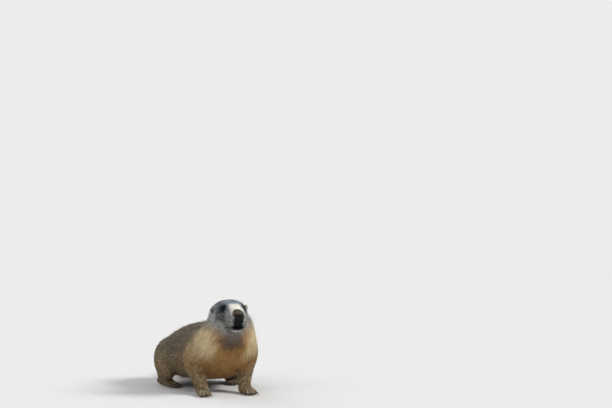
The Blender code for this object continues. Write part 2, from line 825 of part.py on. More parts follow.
def make_nose(head, parts, guides):
    """The bare nose pad with its two nostrils."""
    matrix = head_matrix() @ Matrix.Translation(NOSE_PLACE)
    nose = ball("nose", parts, NOSE_SIZE, matrix, NOSE_SIDES)
    for side in (1, -1):
        at = Matrix.Translation(head_point(NOSTRIL_PLACE, side))
        turn = head_matrix().to_3x3().to_4x4() @ Matrix.Rotation(math.radians(25.0) * side, 4, "Y")
        nostril = ball("nostril", guides, NOSTRIL_SIZE, at @ turn, 8)
        combine(nose, nostril, "DIFFERENCE")
        bpy.data.objects.remove(nostril)
    around = ball("around", guides, [size + GAP for size in NOSE_SIZE], matrix, NOSE_SIDES)
    combine(head, around, "DIFFERENCE")
    bpy.data.objects.remove(around)
    return nose


def cut_mouth(head, guides):
    """The line of the mouth from corner to corner, and the cleft from its middle up to the nose."""
    tree = BVHTree.FromObject(head, bpy.context.evaluated_depsgraph_get())

    def on_skin(outer, inner):
        start, end = head_matrix() @ outer, head_matrix() @ inner
        return tree.ray_cast(start, (end - start).normalized())[0]

    line = []
    for step in range(GROOVE_POINTS):
        turn = (step / (GROOVE_POINTS - 1) - 0.5) * 2.0
        height = MOUTH_FRONT.z + (MOUTH_CORNER.z - MOUTH_FRONT.z) * abs(turn)
        outer = Vector((
            -MOUTH_CORNER.x * 2.0 * math.sin(turn * MOUTH_SWEEP),
            MOUTH_CORNER.y + 0.075 * math.cos(turn * MOUTH_SWEEP),
            height,
        ))
        line.append(on_skin(outer, Vector((0.0, MOUTH_CORNER.y - 0.002, height))))
    cleft = []
    for step in range(CLEFT_POINTS):
        height = MOUTH_FRONT.z + (NOSE_PLACE.z - MOUTH_FRONT.z) * step / (CLEFT_POINTS - 1)
        cleft.append(on_skin(Vector((0.0, 0.2, height)), Vector((0.0, 0.0, height))))
    for points in (line, cleft):
        groove = tube("groove", [point for point in points if point], MOUTH_GROOVE, guides)
        combine(head, groove, "DIFFERENCE")
        bpy.data.objects.remove(groove)


def tube(name, points, radius, collection):
    curve = bpy.data.curves.new(name, "CURVE")
    curve.dimensions = "3D"
    curve.bevel_depth = radius
    curve.bevel_resolution = 1
    curve.use_fill_caps = True
    spline = curve.splines.new("POLY")
    spline.points.add(len(points) - 1)
    for point, place in zip(spline.points, points):
        point.co = (*place, 1.0)
    line = object_from(name, curve, collection)
    graph = bpy.context.evaluated_depsgraph_get()
    mesh = bpy.data.meshes.new_from_object(line.evaluated_get(graph))
    bpy.data.objects.remove(line)
    work = bmesh.new()
    work.from_mesh(mesh)
    bmesh.ops.remove_doubles(work, verts=work.verts, dist=0.00001)
    bmesh.ops.recalc_face_normals(work, faces=work.faces)
    work.to_mesh(mesh)
    work.free()
    return object_from(name, mesh, collection)


def make_tail(torso, parts, guides):
    """A core that is set in the rump, with a brush of locks all round it."""
    outline_rows = [(*row, row[4]) for row in TAIL_ROWS]
    outline = loft("tail_outline", outline_rows, guides, 32, 40, 0.006, TAIL_DOME)
    core_rows = [
        (x, y, z, side * share, high * share, high * share)
        for (x, y, z, side, high), share in zip(TAIL_ROWS, TAIL_CORE)
    ]
    tail = loft("tail", core_rows, parts, TAIL_SIDES, 12, 0.006, TAIL_DOME * TAIL_CORE[-1])
    seat(tail, torso, guides)

    def zone(place):
        return place.y > TAIL_BRUSH_FROM

    depth = TAIL_ROWS[-1][3] * (1.0 - TAIL_CORE[-1])
    grow_locks(tail, outline, zone, tail_flow, TAIL_LOCK, depth, 5)
    clip(tail, Vector((0.0, 0.0, 0.0)), (0.0, 0.0, -1.0), guides)
    bpy.data.objects.remove(outline)
    return tail


def finish_node(obj, material):
    obj.data.transform(Matrix.Translation((-FOOTPRINT_X, -FOOTPRINT_Y, 0.0)))
    obj.data.materials.clear()
    obj.data.materials.append(make_material(material))
    obj.data.shade_smooth()
    obj.data.set_sharp_from_angle(angle=math.radians(40.0))


def dress(nodes, outline, regions):
    """Locks on the trunk, the neck and the outer sides of the upper legs, each within its own node."""
    trees = {
        key: BVHTree.FromObject(region, bpy.context.evaluated_depsgraph_get())
        for key, region in regions.items()
    }

    def torso_zone(place):
        return (
            cut_side(NECK_CUT, place) < -LOCK_CLEAR
            and place.z > CORE_ABOVE
            and tail_distance(place) > TAIL_CLEAR
            and all(hull_side(tree, place) > LOCK_CLEAR for tree in trees.values())
        )

    def neck_zone(place):
        return cut_side(NECK_CUT, place) > LOCK_CLEAR and cut_side(NAPE_CUT, place) < -LOCK_CLEAR

    def leg_zone(key, side):
        def zone(place):
            return (
                hull_side(trees[key], place) < -LOCK_CLEAR
                and place.x * side > LEG_LOCKS_OUTSIDE
                and place.z > (ELBOW_HEIGHT if key.startswith("fore") else LEG_LOCKS_ABOVE) + LOCK_CLEAR
                and cut_side(NECK_CUT, place) < -LOCK_CLEAR
            )
        return zone

    grow_locks(nodes["torso"], outline, torso_zone, body_flow, BODY_LOCK, CORE_DEPTH, 1)
    grow_locks(nodes["neck"], outline, neck_zone, body_flow, NECK_LOCK, CORE_DEPTH, 2)
    for side, label in ((1, "left"), (-1, "right")):
        for region, name, size in (("foreleg", "upperarm", ARM_LOCK), ("hindleg", "hindleg", THIGH_LOCK)):
            zone = leg_zone(f"{region}_{label}", side)
            grow_locks(nodes[f"{name}_{label}"], outline, zone, body_flow, size, CORE_DEPTH, 4)


def main():
    clear_scene()
    parts = new_collection("alpine_marmot")
    guides = new_collection("guides")
    torso = make_body(guides)
    outline = copy_of(torso, "outline", guides)
    sink_core(torso)
    head = part_by_plane(
        torso, "head", NAPE_CUT, (HEAD_TRIANGLES, BODY_TRIANGLES), parts, guides
    )
    neck = part_by_plane(torso, "neck", NECK_CUT, (None, None), parts, guides)
    nodes = {"head": head, "neck": neck}
    finishes = {"head": "head_fur", "neck": "grey_brown_fur"}
    paws = (
        ("fore", FORELEG_ROWS, [FORELEG_ROWS], WRIST_HEIGHT, FOREPAW_PLACE, FOREPAW_TURN,
         (FOREPAW_LENGTH, FOREPAW_WIDTH, FOREPAW_HEIGHT), FORE_TOES, FORE_CLAW),
        ("hind", SHANK_ROWS, [THIGH_ROWS, SHANK_ROWS], HEEL_HEIGHT, HINDPAW_PLACE, HINDPAW_TURN,
         (HINDPAW_LENGTH, HINDPAW_WIDTH, HINDPAW_HEIGHT), HIND_TOES, HIND_CLAW),
    )
    regions = {}
    for side, label in ((1, "left"), (-1, "right")):
        for end, low_rows, rows_list, height, place, turn, size, toes, claw_length in paws:
            name = f"{end}leg_{label}"
            region = leg_region("region", rows_list, side, LEG_MARGIN, guides)
            around = leg_region("around", rows_list, side, LEG_MARGIN + 1.5 * GAP, guides)
            nodes[name] = part_leg(torso, name, region, around, height, parts, guides)
            finishes[name] = "grey_brown_fur"
            regions[name] = region
            if end == "fore":
                elbow = Vector((0.0, 0.0, ELBOW_HEIGHT))
                upper = copy_of(nodes[name], "upper", parts)
                clip(upper, elbow + Vector((0.0, 0.0, GAP)), (0.0, 0.0, -1.0), guides)
                clip(nodes[name], elbow, (0.0, 0.0, 1.0), guides)
                nodes[f"upperarm_{label}"] = upper
                finishes[f"upperarm_{label}"] = "grey_brown_fur"
            paw_name = f"{end}paw_{label}"
            paw = make_paw(
                paw_name, place, turn, size, toes, low_rows[-3:], height, side, parts, guides
            )
            nodes[paw_name] = paw
            finishes[paw_name] = "paw_skin"
            for toe in range(toes):
                name = f"claw_{end}_{label}_{toe + 1}"
                claw = make_claw(name, place, turn, size, toe, toes, claw_length, side, parts)
                seat(claw, paw, guides)
                nodes[name] = claw
                finishes[name] = "claw_horn"
    nodes["tail"] = make_tail(torso, parts, guides)
    finishes["tail"] = "tail_fur"
    guides.objects.unlink(torso)
    parts.objects.link(torso)
    nodes["torso"] = torso
    finishes["torso"] = "grey_brown_fur"
    dress(nodes, outline, regions)
    cut_mouth(head, guides)
    for side, label in ((1, "left"), (-1, "right")):
        nodes[f"eye_{label}"] = make_eye(side, head, parts, guides)
        finishes[f"eye_{label}"] = "eye"
        nodes[f"ear_{label}"] = make_ear(side, head, parts, guides)
        finishes[f"ear_{label}"] = "head_fur"
    nodes["nose"] = make_nose(head, parts, guides)
    finishes["nose"] = "nose_leather"
    for guide in list(guides.objects):
        bpy.data.objects.remove(guide)
    for name, obj in nodes.items():
        obj.name = name
        finish_node(obj, finishes[name])


main()
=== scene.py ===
"""The looks of an alpine marmot, built as a still, life-size museum model.

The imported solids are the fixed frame. One skin stands for the flesh, and solid tufts of fur lie over it.
Metres, +Z up. The animal faces -Y and its left side is +X.
"""

import math

import bmesh
import bpy
import numpy as np
from bpy.props import FloatProperty, FloatVectorProperty, IntProperty, PointerProperty
from mathutils import Matrix, Vector
from mathutils.bvhtree import BVHTree


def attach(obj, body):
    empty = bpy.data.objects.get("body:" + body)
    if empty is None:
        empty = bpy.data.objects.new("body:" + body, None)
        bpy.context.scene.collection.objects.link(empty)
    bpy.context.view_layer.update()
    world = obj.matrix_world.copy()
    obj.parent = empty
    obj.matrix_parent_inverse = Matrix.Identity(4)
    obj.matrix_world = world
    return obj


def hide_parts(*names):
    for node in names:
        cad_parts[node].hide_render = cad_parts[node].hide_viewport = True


bl_info = {
    "name": "Alpine Marmot Looks",
    "version": (1, 0, 0),
    "blender": (4, 5, 0),
    "location": "3D View > Sidebar > Marmot",
    "description": "Skin, coat, eyes, nose, ears, claws and whiskers of a life-size alpine marmot",
    "category": "Object",
}

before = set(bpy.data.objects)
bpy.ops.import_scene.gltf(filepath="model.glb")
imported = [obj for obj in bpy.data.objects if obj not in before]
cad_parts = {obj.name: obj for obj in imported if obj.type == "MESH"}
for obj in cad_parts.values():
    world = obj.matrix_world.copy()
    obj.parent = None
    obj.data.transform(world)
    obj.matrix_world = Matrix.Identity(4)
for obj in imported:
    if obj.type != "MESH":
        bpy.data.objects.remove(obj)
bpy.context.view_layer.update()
BODY = "root"

# The photo's frame and the view that it was taken from
PHOTO_SIZE = (612, 408)
PHOTO_NOSE = (238.7, 315.0)
VIEW_AZIMUTH = math.radians(-18.0)
VIEW_ELEVATION = math.radians(4.0)
VIEW_DISTANCE = 7.9
VIEW_WIDTH = 1.43
SENSOR_WIDTH = 36.0

# Soft lamps: where their light comes from, strength and spread in degrees
LAMPS = (
    ("key", (0.95, -0.75, 0.85), 3.1, 20.0),
    ("fill", (-1.0, -0.7, 0.8), 0.55, 26.0),
    ("back", (-0.3, 1.0, 0.9), 0.7, 40.0),
)
SKY_COLOUR = (0.93, 0.96, 1.0, 1.0)
SKY_STRENGTH = 0.62
SIDES = ((1, "left"), (-1, "right"))

# From the middle of the animal as modelled to the middle of its footprint
STAND = np.array((0.0, -0.0672, 0.0))

# Head: its place, and its eyes, ears, nose and mouth in the head's own frame, where y points to the nose
HEAD_PLACE = Vector((0.0, -0.118, 0.2005))
HEAD_PITCH = math.radians(-4.0)
HEAD_TURN = math.radians(-2.5)
EYE_RADIUS = 0.0064
EYE_PLACE = Vector((0.0230, 0.0596, 0.0180))
EYE_GAZE = Vector((0.86, 0.42, 0.20))
LID_OPENING = (0.0060, 0.0044)
LID_POINT = 1.75
LID_TILT = math.radians(8.0)
LID_THICKNESS = 0.0010
LID_EDGE = 1.04
EYE_BEHIND = 0.0014
LID_RIM_RADIUS = 0.00075
EAR_PLACE = Vector((0.0360, 0.0272, 0.0060))
EAR_SIZE = (0.0104, 0.0066, 0.0106)
EAR_TURN = math.radians(-56.0)
EAR_LEAN = math.radians(-14.0)
EAR_SINK = 0.0070
EAR_SHELL = 0.0012
EAR_OPEN_FROM = 0.25
NOSE_PLACE = Vector((0.0, 0.1122, 0.0108))
NOSE_SIZE = (0.0108, 0.0054, 0.0078)
NOSE_BLUNTNESS = 0.8
NOSE_LEAN = 0.45
NOSTRIL_PLACE = Vector((0.0052, 0.1168, 0.0092))
NOSTRIL_SIZE = (0.0036, 0.0019)
NOSTRIL_DEPTH = 0.0042
NOSTRIL_LIP = 0.0006
GROOVE_HALF = 0.0011
GROOVE_DEPTH = 0.0011
MOUTH_CORNER = Vector((0.0235, 0.0800, -0.0225))
MOUTH_FRONT = Vector((0.0, 0.1140, -0.0180))
MOUTH_SWEEP = 1.45
MOUTH_SLIT = -0.0194
MOUTH_DEPTH = 0.0056
MOUTH_STEPS = 24
CLEFT_DEPTH = 0.0012

# The mouth's line: reach and depth at its corners, and what its front adds
LINE_REACH = (0.0022, 0.0016)
LINE_DEPTH = (0.0016, 0.0032)

# What is refined: a ball in the muzzle, by its place under the nose and its radius, and one round each eye
MUZZLE_BALL = (Vector((0.0, -0.006, -0.012)), 0.026)
EYE_BALL = 0.015

# The seat of the nose: its half width and height, and how far it stands out
SEAT_SIZE = (0.0150, 0.0125)
SEAT_HEIGHT = 0.0016

# Where the muzzle's end draws back: heights below its middle, and how far
MUZZLE_HEIGHTS = (-0.004, 0.006, 0.018, 0.030)
MUZZLE_BACK = (0.0, 0.0020, 0.0068, 0.0105)

# Places along the head from its root to the muzzle: along, up, down, half width
HEAD_ROWS = (
    (-0.024, 0.0060, 0.0260, 0.0280),
    (-0.006, 0.0255, 0.0370, 0.0390),
    (0.015, 0.0325, 0.0430, 0.0435),
    (0.036, 0.0350, 0.0435, 0.0430),
    (0.056, 0.0335, 0.0415, 0.0358),
    (0.074, 0.0290, 0.0395, 0.0288),
    (0.090, 0.0245, 0.0370, 0.0250),
    (0.104, 0.0200, 0.0335, 0.0222),
    (0.112, 0.0160, 0.0285, 0.0185),
)
HEAD_PEAR = 0.10
HEAD_SQUARENESS = 2.3

# Swellings and hollows of the head: place, reach, height. All but those on the midline come in pairs
HEAD_FORMS = (
    (Vector((0.0230, 0.0620, 0.0280)), 0.015, 0.0020),
    (Vector((0.0300, 0.0700, 0.0080)), 0.014, -0.0025),
    (Vector((0.0, 0.0600, 0.0340)), 0.020, -0.0015),
    (Vector((0.0430, 0.0320, -0.0180)), 0.030, 0.0015),
    (Vector((0.0200, 0.1000, -0.0040)), 0.014, 0.0028),
    (Vector((0.0, 0.1000, -0.0310)), 0.014, 0.0015),
    (Vector((0.0430, -0.0040, -0.0100)), 0.036, 0.0060),
)

# Trunk and neck from the rump forwards: x, y, z, half width, reach up, reach down
TRUNK_ROWS = (
    (0.0, 0.214, 0.052, 0.026, 0.026, 0.026),
    (0.0, 0.203, 0.054, 0.051, 0.042, 0.036),
    (0.0, 0.182, 0.058, 0.075, 0.056, 0.042),
    (0.0, 0.140, 0.066, 0.095, 0.069, 0.050),
    (0.0, 0.080, 0.079, 0.101, 0.076, 0.061),
    (0.0, 0.015, 0.092, 0.094, 0.074, 0.067),
    (0.002, -0.045, 0.108, 0.083, 0.066, 0.070),
    (0.005, -0.090, 0.134, 0.074, 0.057, 0.068),
    (0.005, -0.118, 0.163, 0.061, 0.050, 0.059),
    (0.001, -0.136, 0.190, 0.046, 0.037, 0.046),
)
TRUNK_PEAR = 0.06
TRUNK_SQUARENESS = 2.15

# Legs on the left side, from the body down: x, y, z, half width, half depth
FORELEG_ROWS = (
    (0.046, -0.058, 0.132, 0.028, 0.042),
    (0.060, -0.068, 0.108, 0.030, 0.043),
    (0.065, -0.060, 0.082, 0.027, 0.036),
    (0.062, -0.062, 0.062, 0.0235, 0.0280),
    (0.057, -0.074, 0.040, 0.0190, 0.0215),
    (0.054, -0.084, 0.024, 0.0160, 0.0175),
    (0.053, -0.090, 0.012, 0.0155, 0.0165),
)
THIGH_ROWS = (
    (0.050, 0.150, 0.076, 0.036, 0.038),
    (0.074, 0.125, 0.070, 0.038, 0.050),
    (0.086, 0.092, 0.061, 0.033, 0.044),
    (0.092, 0.068, 0.052, 0.026, 0.032),
)
SHANK_ROWS = (
    (0.092, 0.068, 0.058, 0.024, 0.030),
    (0.090, 0.096, 0.040, 0.022, 0.026),
    (0.086, 0.122, 0.026, 0.018, 0.020),
    (0.084, 0.136, 0.016, 0.016, 0.017),
)

# Tail from its root to its tip: x, y, z, half width, half height, and its flesh as a share of that
TAIL_ROWS = (
    (0.000, 0.190, 0.050, 0.018, 0.018),
    (0.001, 0.215, 0.043, 0.022, 0.021),
    (0.005, 0.245, 0.032, 0.026, 0.025),
    (0.015, 0.282, 0.026, 0.029, 0.028),
    (0.030, 0.320, 0.024, 0.029, 0.027),
    (0.045, 0.350, 0.022, 0.023, 0.022),
)
TAIL_FLESH = (1.0, 0.80, 0.60, 0.50, 0.45, 0.40)

# Paws: where the wrist or heel stands, which way they point, length, width, height, toes and claw length
PAWS = {
    "fore": (Vector((0.053, -0.088, 0.0)), math.radians(6.0), (0.052, 0.034, 0.019), 4, 0.0135),
    "hind": (Vector((0.084, 0.142, 0.0)), math.radians(-8.0), (0.086, 0.036, 0.020), 5, 0.0105),
}
TOE_RADIUS = 0.0049
TOE_SHARE = 0.34
CLAW_RADIUS = 0.0025

# How smooth the skin is, in steps at the grain of the solids
SOLID_GRAIN = 0.0032
SKIN_STEPS = 4
SOFT_STEPS = 26
SOFT_FROM = -0.155
SOFT_ABOVE = 0.030
SOFT_FADE = 0.040

# The coat of each part of the body: hair length, tuft width, tufts to a square centimetre, depth
COAT = {
    "trunk": (0.034, 0.0015, 36.0, 0.0090),
    "head": (0.011, 0.0012, 110.0, 0.0034),
    "tail": (0.044, 0.0015, 84.0, 0.0130),
    "arm": (0.020, 0.0015, 46.0, 0.0055),
    "thigh": (0.030, 0.0017, 36.0, 0.0080),
    "shank": (0.014, 0.0013, 60.0, 0.0045),
    "forepaw": (0.0060, 0.0010, 115.0, 0.0014),
    "hindpaw": (0.0060, 0.0010, 100.0, 0.0014),
}
# How sharply one part of the body gives way to the next
PART_SHARPNESS = 6.5

# The head's coat at its back and on the muzzle, and what the cheeks add, in the order of the numbers above
FACE_COAT = {
    "length": (0.0140, 0.0042, 0.007),
    "width": (0.0013, 0.00072, 0.0),
    "density": (90.0, 230.0, 0.0),
    "depth": (0.0046, 0.0008, 0.0022),
}
# The coat of the neck and how fully it is reached, of the belly as what it lacks, and close round the eyes
NECK_COAT = (("width", 0.0011, 1.0), ("density", 58.0, 1.0), ("length", 0.027, 0.8))
BELLY_LACKS = (("length", 0.40), ("depth", 0.45), ("density", 0.35))
EYE_COAT = (("length", 0.0026), ("depth", 0.0006), ("width", 0.0007))
EAR_COAT_LENGTH = 0.0045

# How the coat of a part lies: how much it follows the part, and what leans it away from that
LIE = {
    "thigh": (0.0, (0.0, 0.80, -0.60)),
    "arm": (1.0, (0.0, 0.35, -0.2)),
    "shank": (0.7, (0.0, 0.3, -0.2)),
}
CHEEK_DROOP = 0.0175
TRUNK_DROOP = (0.25, 0.35, 0.9)
TRUNK_SPREAD = 0.10
HEEL_WAY = (0.0, 0.25, -1.0)

# Tufts: form of one, and how they vary from one to the next, in the order of the random draws
TUFT_SINK = 0.0010
TUFT_THICKNESS = 0.32
TUFT_FORM = ((0.0, 0.35, 0.7, 1.0), (0.65, 1.0, 0.72, 0.0))
TUFT_SPREAD = (("length", 0.75, 1.15), ("width", 0.75, 1.15), ("lift", 0.55, 1.05))
TAIL_SPREAD = (("length", 0.75, 1.20), ("lift", 0.70, 1.35))
TAIL_END_LENGTH = 0.34
TAIL_CALM = 0.4
TAIL_FACING = (0.25, 0.70)
TAIL_KINK = (0.96, 0.85)
GUARD_SHARE = 0.07
GUARD_HAIR = (("length", 1.22), ("lift", 1.45), ("width", 0.6))
FLOOR_GAP = 0.0004
PIECE_TRIANGLES = 190000
UV_PATCH = 0.003
COAT_SEED = 21

# The ears' own tufts: how many, and width, lift and length on the back of the ear and on its upper rim
EAR_TUFTS = 2600
EAR_TUFT_WIDTH = 0.0008
EAR_TUFT_LIFT = 0.0007
EAR_TUFT_LENGTHS = (0.0028, 0.0042)
EAR_SEED = 77

# Whiskers: radius on the lip, droop and sweep by length, then number, length and radius over each eye
WHISKER_RADIUS = 0.00024
WHISKER_DROOP = 0.16
WHISKER_SWEEP = 0.20
BROW_WHISKERS = 3
BROW_WHISKER_LENGTH = 0.011
BROW_WHISKER_RADIUS = 0.00016
WHISKER_SEED = 8

# Soft patches in the colours and in the lie of the tufts: their size and the seed of their waves
PATCHES = {
    "body": (0.035, 5), "fine": (0.009, 6), "flecks": (0.0045, 7), "mottle": (0.0058, 8), "hide": (0.003, 9),
    "clumps": (0.0110, 3), "head_clumps": (0.0060, 4),
}
LIE_PATCH = 0.016
LIE_SEEDS = (32, 33, 34)

# The height of the back's middle, by the place towards the head
BACK_LINE = ((-0.21, 0.0, 0.09, 0.14), (0.052, 0.094, 0.134, 0.195))

# Markings in the order that they are painted: the colour, how strong it is on plain and on flecked fur, and
# its soft edges. An edge has what is measured, where it starts, where it is full, and how far it waves
NECK_SIDES = (("z", 0.088, 0.132), ("z", 0.186, 0.164), ("y", -0.050, -0.120, 0.040))
TRUNK_MARKS = (
    ("flank", (1.0, 1.0), ("rise", 0.030, -0.015, 0.014)),
    ("rump", (0.8, 0.8), ("y", 0.150, 0.205)),
    ("belly", (1.0, 1.0), ("z", 0.052, 0.030)),
    ("nape", (0.8, 0.8), ("y", -0.075, -0.125), ("rise", -0.02, 0.02)),
    ("chest", (1.0, 1.0), ("slope", -0.02, -0.11), ("rise", 0.012, -0.020)),
    ("cheek", (0.85, 0.85), ("along", -0.040, 0.006, 0.012), ("high", -0.030, -0.008)),
    # Cream fur on the neck's sides, brightened as painted sunlight on the rim of the neck
    ("throat", (0.92, 0.92), *NECK_SIDES, ("wide", 0.024, 0.042, 0.012), ("rise", 0.032, 0.006)),
    # Down the front of the neck: brown fur darkened as a painted shadow under the chin
    (
        "dewlap", (0.9, 0.9), *NECK_SIDES,
        ("wide", 0.030, 0.010, 0.012), ("rise", 0.0, -0.02), ("z", 0.118, 0.145),
    ),
)
HEAD_MARKS = (
    ("nape", (0.6, 0.6), ("along", 0.012, -0.020)),
    ("crown", (1.0, 1.0), ("high", 0.002, 0.018)),
    # Silvery fur between the eyes, partly a painted sheen of light on top of the head
    ("brow", (0.35, 1.0), ("along", 0.026, 0.046), ("side", 0.024, 0.010, 0.006), ("high", 0.020, 0.028)),
    ("muzzle", (1.0, 1.0), ("along", 0.066, 0.084), ("high", 0.018, 0.006)),
    ("fleck", (0.0, 0.7), ("along", 0.080, 0.092), ("high", -0.016, -0.006)),
    (
        "mask", (1.0, 0.55), ("along", 0.044, 0.052, 0.003), ("along", 0.088, 0.072, 0.003),
        ("high", 0.016, 0.012), ("high", -0.014, -0.004, 0.003), ("side", 0.012, 0.020),
    ),
    # Under the chin: brown fur darkened as a painted shadow
    ("dewlap", (0.8, 0.8), ("high", -0.0285, -0.0330), ("along", 0.060, 0.080)),
    (
        "chin", (1.0, 1.0), ("high", -0.0248, -0.0270), ("high", -0.0325, -0.0290),
        ("side", 0.0150, 0.0080), ("along", 0.072, 0.084),
    ),
    # Cream under the jaw, in the colour that also holds painted sunlight on the neck
    ("throat", (0.75, 0.75), ("high", -0.028, -0.040), ("along", 0.066, 0.040), ("side", 0.010, 0.024)),
)

# The pale bridge: places along the head and its half width there. Then its edges, those of the black lip
# under the nose, and those of the down round the nose, which is an ellipse across and up
BRIDGE_WIDTHS = (
    (0.060, 0.068, 0.076, 0.086, 0.096, 0.110),
    (0.0060, 0.0105, 0.0145, 0.0155, 0.0155, 0.0130),
)
BRIDGE_EDGES = (("along", 0.058, 0.077, 0.009), ("off_bridge", 0.004, -0.004, 0.0045), ("high", 0.006, 0.012))
SNOUT_EDGES = (("along", 0.096, 0.102), ("side", 0.0118, 0.0078, 0.003), ("high", 0.008, 0.004))
COLLAR_EDGES = (("collar", 1.25, 0.85, 0.18), ("along", 0.096, 0.101))
COLLAR_SIZE = (0.0122, 0.0094)
COLLAR_HEIGHT = 0.0120
LIPS_SIZE = (0.0135, 0.0060)

# Painted shade between the toes, and how much darker the back of the heel is. Shares of the trunk's colour on
# the thigh and the upper arm
GAP_SHADE = 0.25
HEEL_SHADE = 0.62
THIGH_SHARE = 0.65
ARM_SHARE = 0.6

# How much the tips are flecked on body and head, and what the face, tail, plain marks, chest and throat lack
GRIZZLE = {"body": 0.75, "head": 0.95, "face": 0.25, "tail": 0.5, "plain": 0.95, "chest": 0.35, "throat": 0.6}


def colour(name, description, default):
    return FloatVectorProperty(
        name=name, description=description, subtype="COLOR", size=3, min=0.0, max=1.0, default=default
    )


class MarmotSizes(bpy.types.PropertyGroup):
    """Sizes that a user would change."""

    skin_voxel: FloatProperty(
        name="Skin voxel", description="Grain of the skin", default=0.00206, unit="LENGTH"
    )
    coat_length: FloatProperty(
        name="Coat length", description="All hair lengths times this", default=1.0, min=0.3, max=1.5
    )
    coat_density: FloatProperty(
        name="Coat density", description="Number of tufts times this", default=1.0, min=0.02, max=1.2
    )
    whisker_length: FloatProperty(
        name="Whisker length", description="Longest whisker", default=0.052, unit="LENGTH"
    )
    whiskers: IntProperty(name="Whiskers", description="Whiskers on each side", default=16, min=0, max=40)
    floor_radius: FloatProperty(
        name="Floor radius", description="Half the width of the floor", default=400.0, unit="LENGTH"
    )


class MarmotColours(bpy.types.PropertyGroup):
    """Colours that a user would change."""

    crown: colour("Crown", "Slate fur on top of the head", (0.080, 0.096, 0.125))
    # Partly silvery fur, partly a painted sheen of light on top of the head
    brow: colour("Brow", "Silvery fur between the eyes", (0.33, 0.38, 0.43))
    bridge: colour("Bridge", "Pale fur between the eyes and the nose", (0.98, 0.95, 0.84))
    cheek: colour("Cheek", "Grey fur of the cheeks", (0.50, 0.52, 0.515))
    mask: colour("Mask", "Dark fur round and under the eyes", (0.012, 0.013, 0.011))
    muzzle: colour("Muzzle", "Grey fur on the sides of the muzzle", (0.165, 0.170, 0.155))
    fleck: colour("Fleck", "Pale flecks on the sides of the muzzle", (0.60, 0.59, 0.54))
    # Also the colour of the black lips, which are partly painted shadow, and of painted shade in the mouth,
    # round the eyes and in the ears
    socket: colour("Socket", "Black fur close round the eyes and on the lips", (0.0025, 0.0025, 0.0035))
    nose_fur: colour("Nose fur", "Brown down round the nose", (0.075, 0.052, 0.042))
    lip: colour("Lip", "Dark slate fur under the nose", (0.008, 0.010, 0.011))
    chin: colour("Chin", "White fur of the chin", (0.66, 0.65, 0.60))
    # Cream fur, set at full brightness as painted sunlight on the rim of the neck
    throat: colour("Throat", "Cream fur of the throat's sides", (1.0, 0.84, 0.53))
    chest: colour("Chest", "Tan fur of the chest", (0.60, 0.325, 0.105))
    # Brown fur under the chin, darkened as a painted shadow under the head
    dewlap: colour("Dewlap", "Brown fur under the chin", (0.11, 0.080, 0.055))
    nape: colour("Nape", "Grey-buff fur of the neck", (0.40, 0.39, 0.32))
    back: colour("Back", "Grizzled grey-brown fur of the back", (0.20, 0.165, 0.12))
    flank: colour("Flank", "Yellow-brown fur of the flanks", (0.34, 0.24, 0.13))
    rump: colour("Rump", "Rusty fur of the rump", (0.26, 0.16, 0.08))
    belly: colour("Belly", "Rusty fur of the belly", (0.38, 0.23, 0.11))
    leg: colour("Leg", "Tawny fur of the legs", (0.36, 0.25, 0.13))
    paw: colour("Paw", "Buff fur of the paws", (0.42, 0.32, 0.19))
    tail: colour("Tail", "Red-brown fur of the tail", (0.16, 0.095, 0.050))
    tail_tip: colour("Tail tip", "Black fur at the end of the tail", (0.018, 0.014, 0.012))
    underfur: colour("Underfur", "Woolly fur at the roots", (0.050, 0.042, 0.036))
    silver: colour("Silver", "Pale tips of the guard hairs on the head", (0.70, 0.72, 0.78))
    buff: colour("Buff", "Pale tips of the guard hairs on the body", (0.62, 0.57, 0.46))
    dark_tip: colour("Dark tips", "Black tips of the guard hairs", (0.020, 0.018, 0.016))
    nose_leather: colour("Nose", "Bare skin of the nose", (0.030, 0.026, 0.025))
    lid_rim: colour("Lid rim", "Bare rim of the eyelids", (0.006, 0.0055, 0.0055))
    iris: colour("Iris", "Dark brown of the eye", (0.007, 0.004, 0.003))
    claw_horn: colour("Claw", "Horn of the claws", (0.055, 0.045, 0.038))
    ear_skin: colour("Ear skin", "Skin inside the ears", (0.030, 0.024, 0.024))
    ear_fringe: colour("Ear fringe", "Pale fur along the rim of the ears", (0.62, 0.57, 0.48))
    floor: colour("Floor", "Plain floor", (0.62, 0.61, 0.595))


def smoothstep(low, high, value):
    share = np.clip((value - low) / (high - low), 0.0, 1.0)
    return share * share * (3.0 - 2.0 * share)


def lerp(low, high, share):
    return low + (high - low) * share


def unit(vectors):
    return vectors / np.maximum(np.linalg.norm(vectors, axis=-1, keepdims=True), 1e-9)


def read_smoothly(rows, count):
    """Reads a table along a smooth curve through its rows, at even steps of the way between centres."""
    table = np.array(rows, float)
    steps = np.linalg.norm(np.diff(table[:, :3], axis=0), axis=1)
    place = np.concatenate([[0.0], np.cumsum(steps)])
    slope = np.gradient(table, place, axis=0)
    at = np.linspace(0.0, place[-1], count)
    row = np.clip(np.searchsorted(place, at, side="right") - 1, 0, len(place) - 2)
    width = (place[row + 1] - place[row])[:, None]
    t = ((at - place[row]) / width[:, 0])[:, None]
    return (
        (2 * t**3 - 3 * t**2 + 1) * table[row]
        + (t**3 - 2 * t**2 + t) * width * slope[row]
        + (3 * t**2 - 2 * t**3) * table[row + 1]
        + (t**3 - t**2) * width * slope[row + 1]
    )


